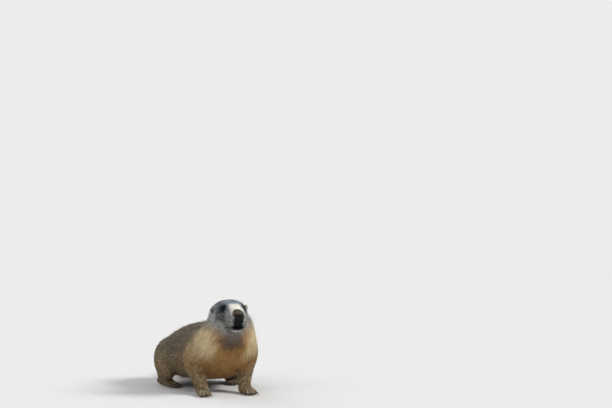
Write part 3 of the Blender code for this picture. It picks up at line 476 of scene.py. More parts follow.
def loft(rows, sides, rings, start_dome, end_dome, square=2.0, pear=0.0, dome_steps=4):
    """Points and faces of a closed body through rows of x, y, z, half width, reach up, reach down."""
    table = read_smoothly(rows, rings)
    centre = table[:, :3]
    tangent = unit(np.gradient(centre, axis=0))
    across = unit(np.array((1.0, 0.0, 0.0)) - tangent * tangent[:, :1])
    upward = np.cross(tangent, across)
    if upward[:, 2].sum() < 0.0:
        upward = -upward
    turn = np.linspace(0.0, 2.0 * math.pi, sides, endpoint=False)
    cosine = np.sign(np.cos(turn)) * np.abs(np.cos(turn)) ** (2.0 / square)
    sine = np.sign(np.sin(turn)) * np.abs(np.sin(turn)) ** (2.0 / square)

    def ring(index, share, shift):
        reach = np.where(sine > 0, table[index, 4], table[index, 5])
        return (
            centre[index] + tangent[index] * shift
            + share * table[index, 3] * (cosine * (1.0 - pear * sine))[:, None] * across[index]
            + share * (reach * sine)[:, None] * upward[index]
        )

    turns = [math.radians(90.0 * (1.0 - step / (dome_steps + 1))) for step in range(1, dome_steps + 1)]
    rows_out = [ring(0, math.cos(a), -start_dome * math.sin(a)) for a in turns]
    rows_out += [ring(index, 1.0, 0.0) for index in range(rings)]
    rows_out += [ring(-1, math.cos(a), end_dome * math.sin(a)) for a in reversed(turns)]
    points = np.concatenate(
        [[centre[0] - tangent[0] * start_dome], *rows_out, [centre[-1] + tangent[-1] * end_dome]]
    )
    last = len(points) - 1
    faces = []
    for side in range(sides):
        after = (side + 1) % sides
        faces.append((0, 1 + after, 1 + side))
        for index in range(len(rows_out) - 1):
            low = 1 + index * sides
            faces.append((low + side, low + after, low + sides + after, low + sides + side))
        low = 1 + (len(rows_out) - 1) * sides
        faces.append((low + side, low + after, last))
    return points, faces


def new_object(name, data):
    obj = bpy.data.objects.new(name, data)
    bpy.context.scene.collection.objects.link(obj)
    return obj


def mesh_object(name, points, faces):
    mesh = bpy.data.meshes.new(name)
    mesh.from_pydata([tuple(point) for point in points], [], faces)
    work = bmesh.new()
    work.from_mesh(mesh)
    bmesh.ops.recalc_face_normals(work, faces=work.faces)
    work.to_mesh(mesh)
    work.free()
    mesh.shade_smooth()
    return new_object(name, mesh)


def ball(name, segments, rings, radius=1.0, size=(1.0, 1.0, 1.0), open_from=None):
    """A smooth sphere, open where its y is more than open_from, and then stretched to a size."""
    work = bmesh.new()
    bmesh.ops.create_uvsphere(work, u_segments=segments, v_segments=rings, radius=radius)
    if open_from is not None:
        open_side = [vertex for vertex in work.verts if vertex.co.y > open_from]
        bmesh.ops.delete(work, geom=open_side, context="VERTS")
    work.transform(Matrix.Diagonal((*size, 1.0)))
    mesh = bpy.data.meshes.new(name)
    work.to_mesh(mesh)
    work.free()
    mesh.shade_smooth()
    return new_object(mesh.name, mesh)


def joined(shells):
    """One list of points and one of faces from several."""
    points, faces, start = [], [], 0
    for shell_points, shell_faces in shells:
        points.append(np.asarray(shell_points))
        faces += [tuple(corner + start for corner in face) for face in shell_faces]
        start += len(shell_points)
    return np.concatenate(points), faces


def apply_modifiers(obj):
    graph = bpy.context.evaluated_depsgraph_get()
    mesh = bpy.data.meshes.new_from_object(obj.evaluated_get(graph))
    obj.modifiers.clear()
    obj.data = mesh
    return obj


def read_places(mesh):
    places = np.empty(len(mesh.vertices) * 3)
    mesh.vertices.foreach_get("co", places)
    return places.reshape(-1, 3)


def read_normals(mesh):
    normals = np.empty(len(mesh.vertices) * 3, np.float32)
    mesh.vertex_normals.foreach_get("vector", normals)
    return normals.reshape(-1, 3).astype(float)


def write_places(mesh, places):
    mesh.vertices.foreach_set("co", np.ascontiguousarray(places).ravel())
    mesh.update()


def put_on_stand(obj):
    """From the frame that the animal is modelled in to the frame of the solids."""
    obj.data.transform(Matrix.Translation(STAND))
    return obj


def mirror_rows(rows, side):
    return [(row[0] * side, *row[1:]) for row in rows]


def with_depth(rows):
    return [(*row, row[4]) for row in rows]


def head_matrix():
    """From the head's own frame, where y runs from its root to the nose, to the animal's."""
    facing = Matrix.Rotation(math.pi, 4, "Z")
    turn = Matrix.Rotation(HEAD_TURN, 4, "Z")
    pitch = Matrix.Rotation(HEAD_PITCH, 4, "X")
    return Matrix.Translation(HEAD_PLACE) @ turn @ facing @ pitch


def head_point(place, side=1):
    """A point of the head's frame, whose x is mirrored for the right side."""
    return head_matrix() @ Vector((-place[0] * side, place[1], place[2]))


def moved(points, matrix):
    table = np.array(matrix)
    return points @ table[:3, :3].T + table[:3, 3]


def in_head(points):
    return moved(points, head_matrix().inverted())


def gaze_matrix(side):
    gaze = Vector((-EYE_GAZE.x * side, EYE_GAZE.y, EYE_GAZE.z)).normalized()
    turn = (head_matrix().to_3x3() @ gaze).to_track_quat("Z", "Y").to_matrix().to_4x4()
    return Matrix.Translation(head_point(EYE_PLACE, side)) @ turn


def ear_matrix(side):
    turn = Matrix.Rotation(EAR_TURN * -side, 4, "Z")
    lean = Matrix.Rotation(EAR_LEAN, 4, "X")
    place = Matrix.Translation((-EAR_PLACE.x * side, EAR_PLACE.y, EAR_PLACE.z))
    return head_matrix() @ place @ turn @ lean


def paw_matrix(end, side):
    place, turn = PAWS[end][:2]
    return Matrix.Translation((place.x * side, place.y, place.z)) @ Matrix.Rotation(turn * side, 4, "Z")


def toe_rows(toe, toes, length, width):
    """A toe from the palm to its tip, in the paw's frame, where -y is forwards."""
    share = (toe - (toes - 1) / 2) / ((toes - 1) / 2)
    reach = length * (1.0 - 0.13 * share * share - 0.04 * share)
    root = length * (1.0 - TOE_SHARE) * 0.9
    x_root = share * (width / 2 - TOE_RADIUS) * 0.92
    x_tip = share * (width / 2 - TOE_RADIUS) * 1.12
    knuckle = TOE_RADIUS * 1.55
    r = TOE_RADIUS
    return (
        (x_root, -root, r * 1.2, r, r, r),
        ((x_root + x_tip) / 2, -(root + reach) / 2, knuckle, r * 0.96, r, r),
        (x_tip, -reach + r * 0.8, r * 0.95, r * 0.84, r * 0.8, r * 0.9),
    )


def paw_rows(end):
    length, width, height = PAWS[end][2]
    palm = length * (1.0 - TOE_SHARE) + TOE_RADIUS
    half = width / 2
    return (
        (0.0, 0.012, height * 0.55, half * 0.74, height * 0.42, height * 0.50),
        (0.0, -palm * 0.35, height * 0.50, half * 0.86, height * 0.46, height * 0.48),
        (0.0, -palm * 0.75, height * 0.40, half * 0.98, height * 0.42, height * 0.40),
        (0.0, -palm, height * 0.34, half * 0.92, height * 0.32, height * 0.34),
    )


def paw_shells(end, side):
    length, width, _ = PAWS[end][2]
    toes = PAWS[end][3]
    shells = [loft(paw_rows(end), 24, 20, 0.007, 0.004, 2.3)]
    for toe in range(toes):
        shells.append(loft(toe_rows(toe, toes, length, width), 16, 12, 0.003, TOE_RADIUS * 0.7))
    return [(moved(points, paw_matrix(end, side)), faces) for points, faces in shells]


def head_rows():
    return [(0.0, along, 0.0, side, up, down) for along, up, down, side in HEAD_ROWS]


def body_shells():
    """The lofts of the whole body, which overlap and become one skin."""
    shells = [loft(TRUNK_ROWS, 64, 60, 0.010, 0.012, TRUNK_SQUARENESS, TRUNK_PEAR)]
    points, faces = loft(head_rows(), 72, 80, 0.010, 0.004, HEAD_SQUARENESS, HEAD_PEAR)
    shells.append((moved(points, head_matrix()), faces))
    flesh = [
        (x, y, z, side * share, high * share, high * share)
        for (x, y, z, side, high), share in zip(TAIL_ROWS, TAIL_FLESH)
    ]
    shells.append(loft(flesh, 28, 40, 0.006, 0.006))
    for side in (1, -1):
        for rows in (FORELEG_ROWS, THIGH_ROWS, SHANK_ROWS):
            shells.append(loft(with_depth(mirror_rows(rows, side)), 32, 28, 0.010, 0.010))
        for end in PAWS:
            shells += paw_shells(end, side)
    return shells


def body_parts():
    """Each length of the body: its kind, and stations along it with centre, tangent and reach."""
    head = read_smoothly(head_rows(), 16)
    head[:, :3] = moved(head[:, :3], head_matrix())
    parts = [("trunk", read_smoothly(TRUNK_ROWS[::-1], 24)), ("head", head[::-1])]
    parts.append(("tail", read_smoothly(with_depth(TAIL_ROWS[1:]), 16)))
    for side in (1, -1):
        for kind, rows in (("arm", FORELEG_ROWS[:-1]), ("thigh", THIGH_ROWS), ("shank", SHANK_ROWS)):
            parts.append((kind, read_smoothly(with_depth(mirror_rows(rows, side)), 12)))
        for end in PAWS:
            paw = read_smoothly(paw_rows(end), 10)
            paw = np.concatenate([paw, paw[-1:]])
            paw[-1, 1] = -PAWS[end][2][0]
            paw[:, :3] = moved(paw[:, :3], paw_matrix(end, side))
            parts.append((f"{end}paw", paw))
    return parts


class BodyMap:
    """Says for any place on the body which parts it belongs to, how far along and how far round."""

    def __init__(self):
        self.parts = body_parts()
        self.kinds = [kind for kind, _ in self.parts]
        self.middles = [stations[:, :3] for _, stations in self.parts]
        self.reaches = [stations[:, 3:].mean(axis=1) for _, stations in self.parts]
        self.ways = [unit(np.gradient(middle, axis=0)) for middle in self.middles]

    def find(self, points):
        count = len(points)
        away = np.empty((count, len(self.parts)))
        station = np.empty((count, len(self.parts)), int)
        for index, (middle, reach) in enumerate(zip(self.middles, self.reaches)):
            distance = np.linalg.norm(points[:, None] - middle[None], axis=2) / reach
            station[:, index] = distance.argmin(axis=1)
            away[:, index] = distance.min(axis=1)
        weight = np.exp(-PART_SHARPNESS * (away - away.min(axis=1)[:, None]))
        weight /= weight.sum(axis=1)[:, None]
        return weight, station

    def share_of(self, weight, kind):
        return sum(weight[:, index] for index, name in enumerate(self.kinds) if name == kind)

    def flow(self, points, weight, station):
        """The lie of the coat, not yet laid on the skin."""
        total = np.zeros_like(points)
        local = in_head(points)
        from_nose = local - np.array((0.0, NOSE_PLACE.y + 0.004, NOSE_PLACE.z - 0.004))
        from_nose[:, 2] -= CHEEK_DROOP * smoothstep(0.0, 0.04, np.abs(local[:, 0]))
        turn = np.array(head_matrix().to_3x3())
        head_way = unit(from_nose) @ turn.T
        flank = np.minimum(1.0, np.abs(points[:, 0]) / 0.09)
        chest = np.clip((-0.02 - points[:, 1]) / 0.08, 0.0, 1.0)
        on_back, on_flank, on_chest = TRUNK_DROOP
        outward = TRUNK_SPREAD * np.sign(points[:, 0]) * flank
        trunk_way = np.stack(
            [outward, np.ones(len(points)), -on_back - on_flank * flank - on_chest * chest], axis=1
        )
        for index, kind in enumerate(self.kinds):
            along = self.ways[index][station[:, index]]
            share, lean = LIE.get(kind, (1.0, (0.0, 0.0, 0.0)))
            way = unit(along * share + np.array(lean))
            if kind == "head":
                way = head_way
            elif kind == "trunk":
                way = unit(trunk_way)
            elif kind == "hindpaw":
                heel = smoothstep(0.120, 0.140, points[:, 1])[:, None]
                way = unit(lerp(along, np.array(HEEL_WAY), heel))
            total += weight[:, index : index + 1] * way
        return unit(total)


BODY_MAP = BodyMap()


def eye_measure(points, side):
    """How far out a place is from the slit of the eye, which is 1 at the edge of the lids."""
    local = moved(points, gaze_matrix(side).inverted())
    wide, high = LID_OPENING
    tilt = LID_TILT * side
    x = local[:, 0] * math.cos(tilt) + local[:, 1] * math.sin(tilt)
    y = local[:, 1] * math.cos(tilt) - local[:, 0] * math.sin(tilt)
    measure = (np.abs(x / wide) ** LID_POINT + np.abs(y / high) ** LID_POINT) ** (1.0 / LID_POINT)
    return np.where(local[:, 2] > 0.0, measure, 10.0), local


def ear_measure(points, side):
    """How far a place is from the middle of an ear, which is 1 at its wall."""
    return np.linalg.norm(moved(points, ear_matrix(side).inverted()) / np.array(EAR_SIZE), axis=1)


def coat_map(points):
    """Length, width, density, depth, flow and markings of the coat at each place."""
    weight, station = BODY_MAP.find(points)
    head, trunk, tail = (BODY_MAP.share_of(weight, kind) for kind in ("head", "trunk", "tail"))
    local = in_head(points)
    along, high = local[:, 1], local[:, 2]
    face = smoothstep(0.020, 0.092, along)
    cheek = smoothstep(0.004, -0.016, high) * smoothstep(0.085, 0.040, along)
    coat = {}
    for column, (key, (behind, muzzle, on_cheek)) in enumerate(FACE_COAT.items()):
        body = sum(weight[:, i] * COAT[kind][column] for i, kind in enumerate(BODY_MAP.kinds))
        coat[key] = lerp(body, lerp(behind, muzzle, face) + on_cheek * cheek, head)
    neck = trunk * smoothstep(-0.045, -0.105, points[:, 1])
    for key, aim, share in NECK_COAT:
        coat[key] = lerp(coat[key], aim, neck * share)
    belly = trunk * smoothstep(0.050, 0.030, points[:, 2])
    for key, lack in BELLY_LACKS:
        coat[key] = coat[key] * (1.0 - lack * belly)

    bare = np.zeros(len(points))
    for side, _ in SIDES:
        cup = ear_measure(points, side)
        coat["length"] = lerp(coat["length"], EAR_COAT_LENGTH, smoothstep(2.2, 1.2, cup) * head)
        measure, _ = eye_measure(points, side)
        near = smoothstep(3.6, 1.4, measure) * head
        for key, aim in EYE_COAT:
            coat[key] = lerp(coat[key], aim, near)
        bare = np.max([bare, cup < 0.90, measure < 1.22], axis=0)
    pad = np.linalg.norm((local - np.array(NOSE_PLACE)) / (np.array(NOSE_SIZE) * 1.10), axis=1) < 1.0
    gap, front = mouth_gap(local)
    mouth = (np.abs(gap) < lerp(0.0008, 0.0032, front)) * (along > 0.076)
    bare = np.max([bare, pad * head, mouth * head, points[:, 2] < 0.0022], axis=0)
    coat["density"] = coat["density"] * (1.0 - bare) * sizes_now().coat_density
    paws = BODY_MAP.share_of(weight, "forepaw") + BODY_MAP.share_of(weight, "hindpaw")
    length = np.where(paws > 0.5, np.minimum(coat["length"], 0.004 + points[:, 2] * 0.35), coat["length"])
    coat["length"] = length * sizes_now().coat_length
    coat["flow"] = BODY_MAP.flow(points, weight, station)
    coat["tint"], coat["grizzle"] = markings(points, weight, station, local)
    coat.update(part=weight.argmax(axis=1), station=station, tail=tail)
    return coat


def in_shares(points, shares):
    """The coat's map of many points, made from a share of them at a time."""
    maps = [coat_map(part) for part in np.array_split(points, shares)]
    return {key: np.concatenate([part[key] for part in maps]) for key in maps[0]}


def mouth_gap(local):
    """How far above the slit of the mouth a place is, and 1 at the front of the lips."""
    line = np.interp(local[:, 1], [MOUTH_CORNER.y, MOUTH_FRONT.y - 0.006], [MOUTH_CORNER.z, MOUTH_SLIT])
    front = smoothstep(0.0155, 0.0090, np.abs(local[:, 0])) * smoothstep(0.080, 0.090, local[:, 1])
    return local[:, 2] - line, front


def waves(points, scale, seed):
    """Soft patches from 0 to 1, from a few waves that cross."""
    chance = np.random.default_rng(seed)
    total = np.zeros(len(points))
    for _ in range(6):
        way = unit(chance.normal(size=3))
        step = chance.uniform(0.7, 1.6)
        total += np.sin(points @ way * step * 2.0 * math.pi / scale + chance.uniform(0, 6.3))
    return 0.5 + total / 12.0


def patches(points, name):
    return waves(points, *PATCHES[name])


def toe_gap_shade(points):
    """1 in the gaps between the toes, which get painted shade, and 0 on the toes."""
    gaps = np.zeros(len(points))
    for end, (_, _, (length, width, _), toes, _) in PAWS.items():
        for side in (1, -1):
            local = moved(points, paw_matrix(end, side).inverted())
            spread = local[:, 0] / (width / 2 - TOE_RADIUS) * (toes - 1) / 2.0 + (toes - 1) / 2.0
            between = np.abs(spread - np.floor(spread) - 0.5) < 0.16
            inside = (spread > 0.0) & (spread < toes - 1.0)
            ahead = smoothstep(length * 0.62, length * 0.72, -local[:, 1])
            gaps = np.maximum(gaps, between * inside * ahead * (local[:, 2] < 0.03))
    return gaps


def markings(points, weight, station, local):
    """The colour of the coat and how strongly its tips are flecked, shared by skin and fur."""
    shades = colours_now()
    body, fine = patches(points, "body"), patches(points, "fine")
    flecks = smoothstep(0.42, 0.62, patches(points, "flecks"))
    mouth, front_lip = mouth_gap(local)
    rise = points[:, 2] - np.interp(-points[:, 1], *BACK_LINE)
    side, along, high = np.abs(local[:, 0]), local[:, 1], local[:, 2]
    at = {
        "wide": np.abs(points[:, 0]), "y": points[:, 1], "z": points[:, 2], "rise": rise,
        "slope": points[:, 1] + 0.35 * rise, "side": side, "along": along, "high": high, "mouth": mouth,
        "off_bridge": side - np.interp(along, *BRIDGE_WIDTHS),
        "collar": (side / COLLAR_SIZE[0]) ** 2 + ((high - COLLAR_HEIGHT) / COLLAR_SIZE[1]) ** 2,
    }

    def tone(name):
        return np.tile(np.array(getattr(shades, name)), (len(points), 1))

    def paint(tint, name, mask):
        return lerp(tint, tone(name), mask[:, None])

    def inside(edges, wave=fine):
        mask = np.ones(len(points))
        for key, start, full, *waving in edges:
            mask *= smoothstep(start, full, at[key] + sum(waving) * (wave - 0.5))
        return mask

    def paint_all(tint, marks, wave):
        masks = {}
        for name, strength, *edges in marks:
            masks[name] = inside(edges, wave)
            tint = paint(tint, name, masks[name] * lerp(*strength, flecks))
        return tint, masks

    trunk, on_trunk = paint_all(tone("back"), TRUNK_MARKS, body)
    head, on_head = paint_all(tone("cheek"), HEAD_MARKS, fine)
    bridge = inside(BRIDGE_EDGES) * (1.0 - 0.45 * smoothstep(0.008, 0.014, side) * (1.0 - flecks))
    head = paint(head, "bridge", bridge)
    snout, collar = inside(SNOUT_EDGES), inside(COLLAR_EDGES)
    head = paint(head, "lip", snout * smoothstep(-0.004, 0.0, mouth))
    head = paint(head, "nose_fur", collar)
    head = paint(head, "mask", collar * smoothstep(0.0135, 0.0105, high))
    # Black lips and the line of the mouth: dark lips, and partly painted shadow under the upper lip
    lips = smoothstep(1.15, 0.85, np.hypot(side / LIPS_SIZE[0], (mouth - 0.0008) / LIPS_SIZE[1]))
    line = smoothstep(0.0020, 0.0008, np.abs(mouth)) * smoothstep(0.076, 0.084, along)
    lips = np.maximum(lips * np.minimum(1.0, front_lip * 3.0), line)
    head = paint(head, "socket", lips)
    dark = on_head["mask"] * lerp(1.0, 0.55, flecks) * 0.7
    for sign, _ in SIDES:
        socket = smoothstep(2.7, 1.9, eye_measure(points, sign)[0] + 0.36 * (fine - 0.5))
        head = paint(head, "socket", socket)
        dark = np.maximum(dark, socket)

    leg, paw = tone("leg"), tone("paw")
    # Painted shade in the gaps between the toes
    paw = lerp(paw, paw * GAP_SHADE, toe_gap_shade(points)[:, None])
    heel = paint(paw, "leg", smoothstep(0.085, 0.115, points[:, 1]))
    heel = heel * lerp(1.0, HEEL_SHADE, smoothstep(0.110, 0.145, points[:, 1]))[:, None]
    heel = paint(heel, "mask", smoothstep(0.014, 0.003, points[:, 2]) * 0.7)
    tail_index = BODY_MAP.kinds.index("tail")
    tail_share = station[:, tail_index] / (len(BODY_MAP.middles[tail_index]) - 1)
    tail = paint(tone("tail"), "tail_tip", smoothstep(0.35, 0.85, tail_share + 0.5 * (fine - 0.5)))
    by_kind = {"trunk": trunk, "head": head, "tail": tail, "forepaw": paw, "hindpaw": heel}
    by_kind["thigh"] = lerp(leg, trunk, THIGH_SHARE)
    by_kind["arm"] = lerp(leg, trunk, (ARM_SHARE * smoothstep(0.050, 0.095, points[:, 2]))[:, None])
    tint = np.zeros((len(points), 3))
    for index, kind in enumerate(BODY_MAP.kinds):
        tint += weight[:, index : index + 1] * by_kind.get(kind, leg)
    head_share, trunk_share, tail_part = (
        BODY_MAP.share_of(weight, kind) for kind in ("head", "trunk", "tail")
    )
    mottle = lerp(fine, patches(points, "mottle"), head_share)
    contrast = lerp(0.5, 1.6 * (1.0 - 0.75 * bridge), head_share)
    tint *= np.clip(1.0 + contrast * (mottle - 0.5), 0.4, 1.7)[:, None]

    chest = smoothstep(-0.02, -0.11, at["slope"]) * smoothstep(0.02, -0.02, rise)
    clean = np.maximum(chest * GRIZZLE["chest"], on_trunk["throat"] * GRIZZLE["throat"])
    grizzle = GRIZZLE["body"] - GRIZZLE["tail"] * tail_part - clean * trunk_share
    face = GRIZZLE["head"] - GRIZZLE["face"] * smoothstep(0.02, 0.09, along)
    plain = np.max([bridge, snout, collar, lips, dark], axis=0) * head_share
    grizzle = lerp(grizzle, face, head_share) * (1.0 - GRIZZLE["plain"] * plain)
    return tint, np.clip(grizzle, 0.02, 1.0)


def sizes_now():
    return bpy.context.scene.marmot_sizes


def colours_now():
    return bpy.context.scene.marmot_colours


def smooth_steps(steps, voxel):
    """Steps that smooth a finer skin as far as the given steps smooth the solids."""
    return max(1, round(steps * (SOLID_GRAIN / voxel) ** 2))


def smooth_part(obj, share, steps):
    """Smooths where share is 1 and leaves what has 0."""
    group = obj.vertex_groups.new(name="smooth")
    levels = np.round(share * 20).astype(int)
    for level in range(1, 21):
        chosen = np.nonzero(levels == level)[0].tolist()
        if chosen:
            group.add(chosen, level / 20, "REPLACE")
    smooth = obj.modifiers.new("Smooth", "SMOOTH")
    smooth.factor = 0.5
    smooth.iterations = steps
    smooth.vertex_group = group.name
    apply_modifiers(obj)
    obj.vertex_groups.clear()


def raise_forms(mesh):
    places, normals = read_places(mesh), read_normals(mesh)
    rise = np.zeros(len(places))
    for place, reach, height in HEAD_FORMS:
        for side in (1, -1) if place[0] else (1,):
            share = 1.0 - np.linalg.norm(places - np.array(head_point(place, side)), axis=1) / reach
            share = np.clip(share, 0.0, 1.0)
            rise += height * share * share * (3.0 - 2.0 * share)
    write_places(mesh, places + normals * rise[:, None])


def refine_face(obj):
    """Halves the faces round the eyes and on the front of the muzzle."""
    work = bmesh.new()
    work.from_mesh(obj.data)
    eyes = [head_point(EYE_PLACE, side) for side in (1, -1)]
    offset, reach = MUZZLE_BALL
    muzzle = head_point(NOSE_PLACE + offset)
    chosen = set()
    for face in work.faces:
        centre = face.calc_center_median()
        if (centre - muzzle).length < reach or min((centre - eye).length for eye in eyes) < EYE_BALL:
            chosen.update(face.edges)
    bmesh.ops.subdivide_edges(work, edges=list(chosen), cuts=1, use_grid_fill=True)
    bmesh.ops.triangulate(work, faces=[face for face in work.faces if len(face.verts) > 4])
    work.to_mesh(obj.data)
    work.free()


def surface_tree(obj):
    return BVHTree.FromObject(obj, bpy.context.evaluated_depsgraph_get())


def mouth_line(tree):
    """Points of the mouth's line on the skin, from corner to corner."""
    line = []
    for step in range(MOUTH_STEPS + 1):
        turn = (step / MOUTH_STEPS - 0.5) * 2.0
        height = MOUTH_FRONT.z + (MOUTH_CORNER.z - MOUTH_FRONT.z) * abs(turn)
        outer = Vector((
            -MOUTH_CORNER.x * 2.0 * math.sin(turn * MOUTH_SWEEP),
            MOUTH_CORNER.y + 0.075 * math.cos(turn * MOUTH_SWEEP),
            height,
        ))
        start = head_matrix() @ outer
        end = head_matrix() @ Vector((0.0, MOUTH_CORNER.y - 0.002, height))
        hit = tree.ray_cast(start, (end - start).normalized())[0]
        if hit:
            line.append((np.array(hit), 1.0 - abs(turn)))
    return line


def cut_face(obj):
    """The slit of the mouth, the cleft of the lip, the lids and the seat of the nose, in the skin."""
    mesh = obj.data
    places, normals = read_places(mesh), read_normals(mesh)
    line = mouth_line(surface_tree(obj))
    near = np.linalg.norm(places - np.array(head_point(MOUTH_FRONT)), axis=1) < 0.075
    sink = np.zeros(len(places))
    for place, front in line:
        gap = np.linalg.norm(places[near] - place, axis=1)
        ahead = smoothstep(0.45, 0.95, np.array(front))
        reach, depth = (base + more * ahead for base, more in (LINE_REACH, LINE_DEPTH))
        sink[near] = np.maximum(sink[near], depth * smoothstep(reach, 0.0, gap))
    local = in_head(places)
    gap, front = mouth_gap(local)
    slit = smoothstep(0.0042, 0.0012, np.abs(gap)) * front
    sink = np.maximum(sink, MOUTH_DEPTH * slit)
    cleft = smoothstep(0.0016, 0.0, np.abs(local[:, 0])) * smoothstep(0.095, 0.102, local[:, 1])
    cleft = cleft * smoothstep(0.008, 0.004, local[:, 2]) * smoothstep(-0.021, -0.017, local[:, 2])
    sink = np.maximum(sink, CLEFT_DEPTH * cleft)
    for side in (1, -1):
        sink = np.maximum(sink, EAR_SINK * smoothstep(1.05, 0.65, ear_measure(places, side)))
    places = places - normals * sink[:, None]
    ahead = smoothstep(0.070, 0.115, local[:, 1])
    back = np.interp(-local[:, 2], MUZZLE_HEIGHTS, MUZZLE_BACK)
    seat = np.hypot(local[:, 0] / SEAT_SIZE[0], (local[:, 2] - NOSE_PLACE.z) / SEAT_SIZE[1])
    forward = SEAT_HEIGHT * smoothstep(1.25, 0.80, seat) * smoothstep(0.100, 0.106, local[:, 1])
    shift = np.zeros_like(places)
    shift[:, 1] = forward - back * ahead
    places = places + shift @ np.array(head_matrix().to_3x3()).T
    for side in (1, -1):
        measure, eye = eye_measure(places, side)
        out = np.linalg.norm(eye, axis=1)
        lid = EYE_RADIUS + LID_THICKNESS
        want = np.where(measure < 1.0, EYE_RADIUS - EYE_BEHIND, lid)
        hold = smoothstep(2.6, 1.35, measure)
        new_out = out + (want - out) * np.where(measure < 1.0, 1.0, hold)
        new_out = np.where(measure < 9.0, new_out, out)
        eye = eye * (new_out / np.maximum(out, 1e-6))[:, None]
        places = np.where((measure < 9.0)[:, None], moved(eye, gaze_matrix(side)), places)
    write_places(mesh, places)


def soften_lips(skin):
    """Rounds the edges of the mouth."""
    local = in_head(read_places(skin.data))
    gap, _ = mouth_gap(local)
    near = smoothstep(0.012, 0.006, np.abs(gap)) * smoothstep(0.078, 0.092, local[:, 1])
    smooth_part(skin, near, 5)


def sink_under_coat(mesh):
    """Draws the skin in by the depth of the coat, but for the tail, whose flesh is thin already."""
    places, normals = read_places(mesh), read_normals(mesh)
    coat = in_shares(places, 12)
    moved_in = places - normals * (coat["depth"] * (1.0 - coat["tail"]))[:, None]
    moved_in[:, 2] = np.maximum(moved_in[:, 2], FLOOR_GAP)
    write_places(mesh, moved_in)


def colour_mesh(mesh, tint, along, chance, grizzle):
    """Stores the markings on a mesh: colour, place along the hair, chance of the tuft, flecking."""
    count = len(mesh.vertices)
    layer = mesh.attributes.new("markings", "FLOAT_COLOR", "POINT")
    layer.data.foreach_set("color", np.column_stack([tint, np.ones(count)]).astype(np.float32).ravel())
    for name, values in (("along", along), ("chance", chance), ("grizzle", grizzle)):
        layer = mesh.attributes.new(name, "FLOAT", "POINT")
        layer.data.foreach_set("value", np.broadcast_to(values, (count,)).astype(np.float32).copy())


def feed(tree, socket, value):
    """Links a socket, or sets it to a number, a colour or the marmot's colour of that name."""
    if isinstance(value, bpy.types.NodeSocket):
        tree.links.new(value, socket)
    elif isinstance(value, (int, float)):
        socket.default_value = value
    else:
        socket.default_value = (*(getattr(colours_now(), value) if isinstance(value, str) else value), 1.0)


def add_node(tree, kind, inputs=(), **settings):
    """A node with its settings, and with its inputs linked or set."""
    node = tree.nodes.new(f"ShaderNode{kind}")
    for key, value in settings.items():
        setattr(node, key, value)
    for key, value in inputs:
        feed(tree, node.inputs[key], value)
    return node


def ramp(tree, value, low, high, start=0.0, end=1.0):
    ends = (("Value", value), ("From Min", low), ("From Max", high), ("To Min", start), ("To Max", end))
    return add_node(tree, "MapRange", ends, interpolation_type="SMOOTHSTEP").outputs["Result"]


def times(tree, first, second, operation="MULTIPLY"):
    return add_node(tree, "Math", ((0, first), (1, second)), operation=operation).outputs[0]


def blend_colours(tree, share, first, second, mode="MIX"):
    ends = (("Factor", share), (6, first), (7, second))
    return add_node(tree, "Mix", ends, data_type="RGBA", blend_type=mode).outputs[2]


def noise(tree, scale, detail, where=None, stretch=None):
    source = where or add_node(tree, "TexCoord").outputs["Object"]
    if stretch:
        mapping = add_node(tree, "Mapping", [("Vector", source)])
        mapping.inputs["Scale"].default_value = stretch
        source = mapping.outputs["Vector"]
    ends = (("Vector", source), ("Scale", scale), ("Detail", detail))
    return add_node(tree, "TexNoise", ends).outputs["Fac"]


def new_group(name, inputs, outputs):
    group = bpy.data.node_groups.new(name, "ShaderNodeTree")
    for in_out, sockets in (("INPUT", inputs), ("OUTPUT", outputs)):
        for label, kind in sockets:
            group.interface.new_socket(name=label, in_out=in_out, socket_type=f"NodeSocket{kind}")
    return group, group.nodes.new("NodeGroupInput").outputs, group.nodes.new("NodeGroupOutput").inputs


def fur_tone_group():
    """Underfur at the root, the marking's colour along the hair, and pale or black tips on some tufts."""
    name = "fur tone"
    if name in bpy.data.node_groups:
        return bpy.data.node_groups[name]
    inputs = [("Marking", "Color"), ("Along", "Float"), ("Chance", "Float"), ("Grizzle", "Float")]
    inputs += [(label, "Color") for label in ("Underfur", "Pale", "Dark")]
    group, at, result = new_group(name, inputs, [("Colour", "Color")])
    root = blend_colours(group, 1.0, at["Marking"], at["Underfur"], "DARKEN")
    root = blend_colours(group, 0.30, root, at["Marking"])
    tint = blend_colours(group, ramp(group, at["Along"], 0.0, 0.5, 0.25, 1.0), root, at["Marking"])
    strength = times(group, ramp(group, at["Along"], 0.35, 0.95), at["Grizzle"])
    for label, low, high in (("Pale", 0.62, 0.72), ("Dark", 0.34, 0.24)):
        tipped = times(group, strength, ramp(group, at["Chance"], low, high))
        tint = blend_colours(group, tipped, tint, at[label])
    spread = times(group, times(group, at["Chance"], 7.3), 1.0, "FRACT")
    shade = ramp(group, spread, 0.0, 1.0, 0.72, 1.22)
    bright = add_node(group, "VectorMath", operation="SCALE")
    feed(group, bright.inputs[0], tint)
    feed(group, bright.inputs["Scale"], shade)
    feed(group, result["Colour"], bright.outputs[0])
    return group


def pebble_group():
    """The fine cobbled grain of bare skin, as a height."""
    name = "pebbled skin"
    if name in bpy.data.node_groups:
        return bpy.data.node_groups[name]
    group, given, result = new_group(name, [("Scale", "Float")], [("Height", "Float")])
    where = add_node(group, "TexCoord").outputs["Object"]
    cells = add_node(group, "TexVoronoi", [("Vector", where), ("Scale", given["Scale"])])
    feed(group, result["Height"], ramp(group, cells.outputs["Distance"], 0.55, 0.05))
    return group


def new_material(name, roughness, specular=0.5):
    material = bpy.data.materials.new(name)
    material.use_nodes = True
    shader = material.node_tree.nodes["Principled BSDF"]
    feed(material.node_tree, shader.inputs["Roughness"], roughness)
    feed(material.node_tree, shader.inputs["Specular IOR Level"], specular)
    return material, material.node_tree, shader.inputs


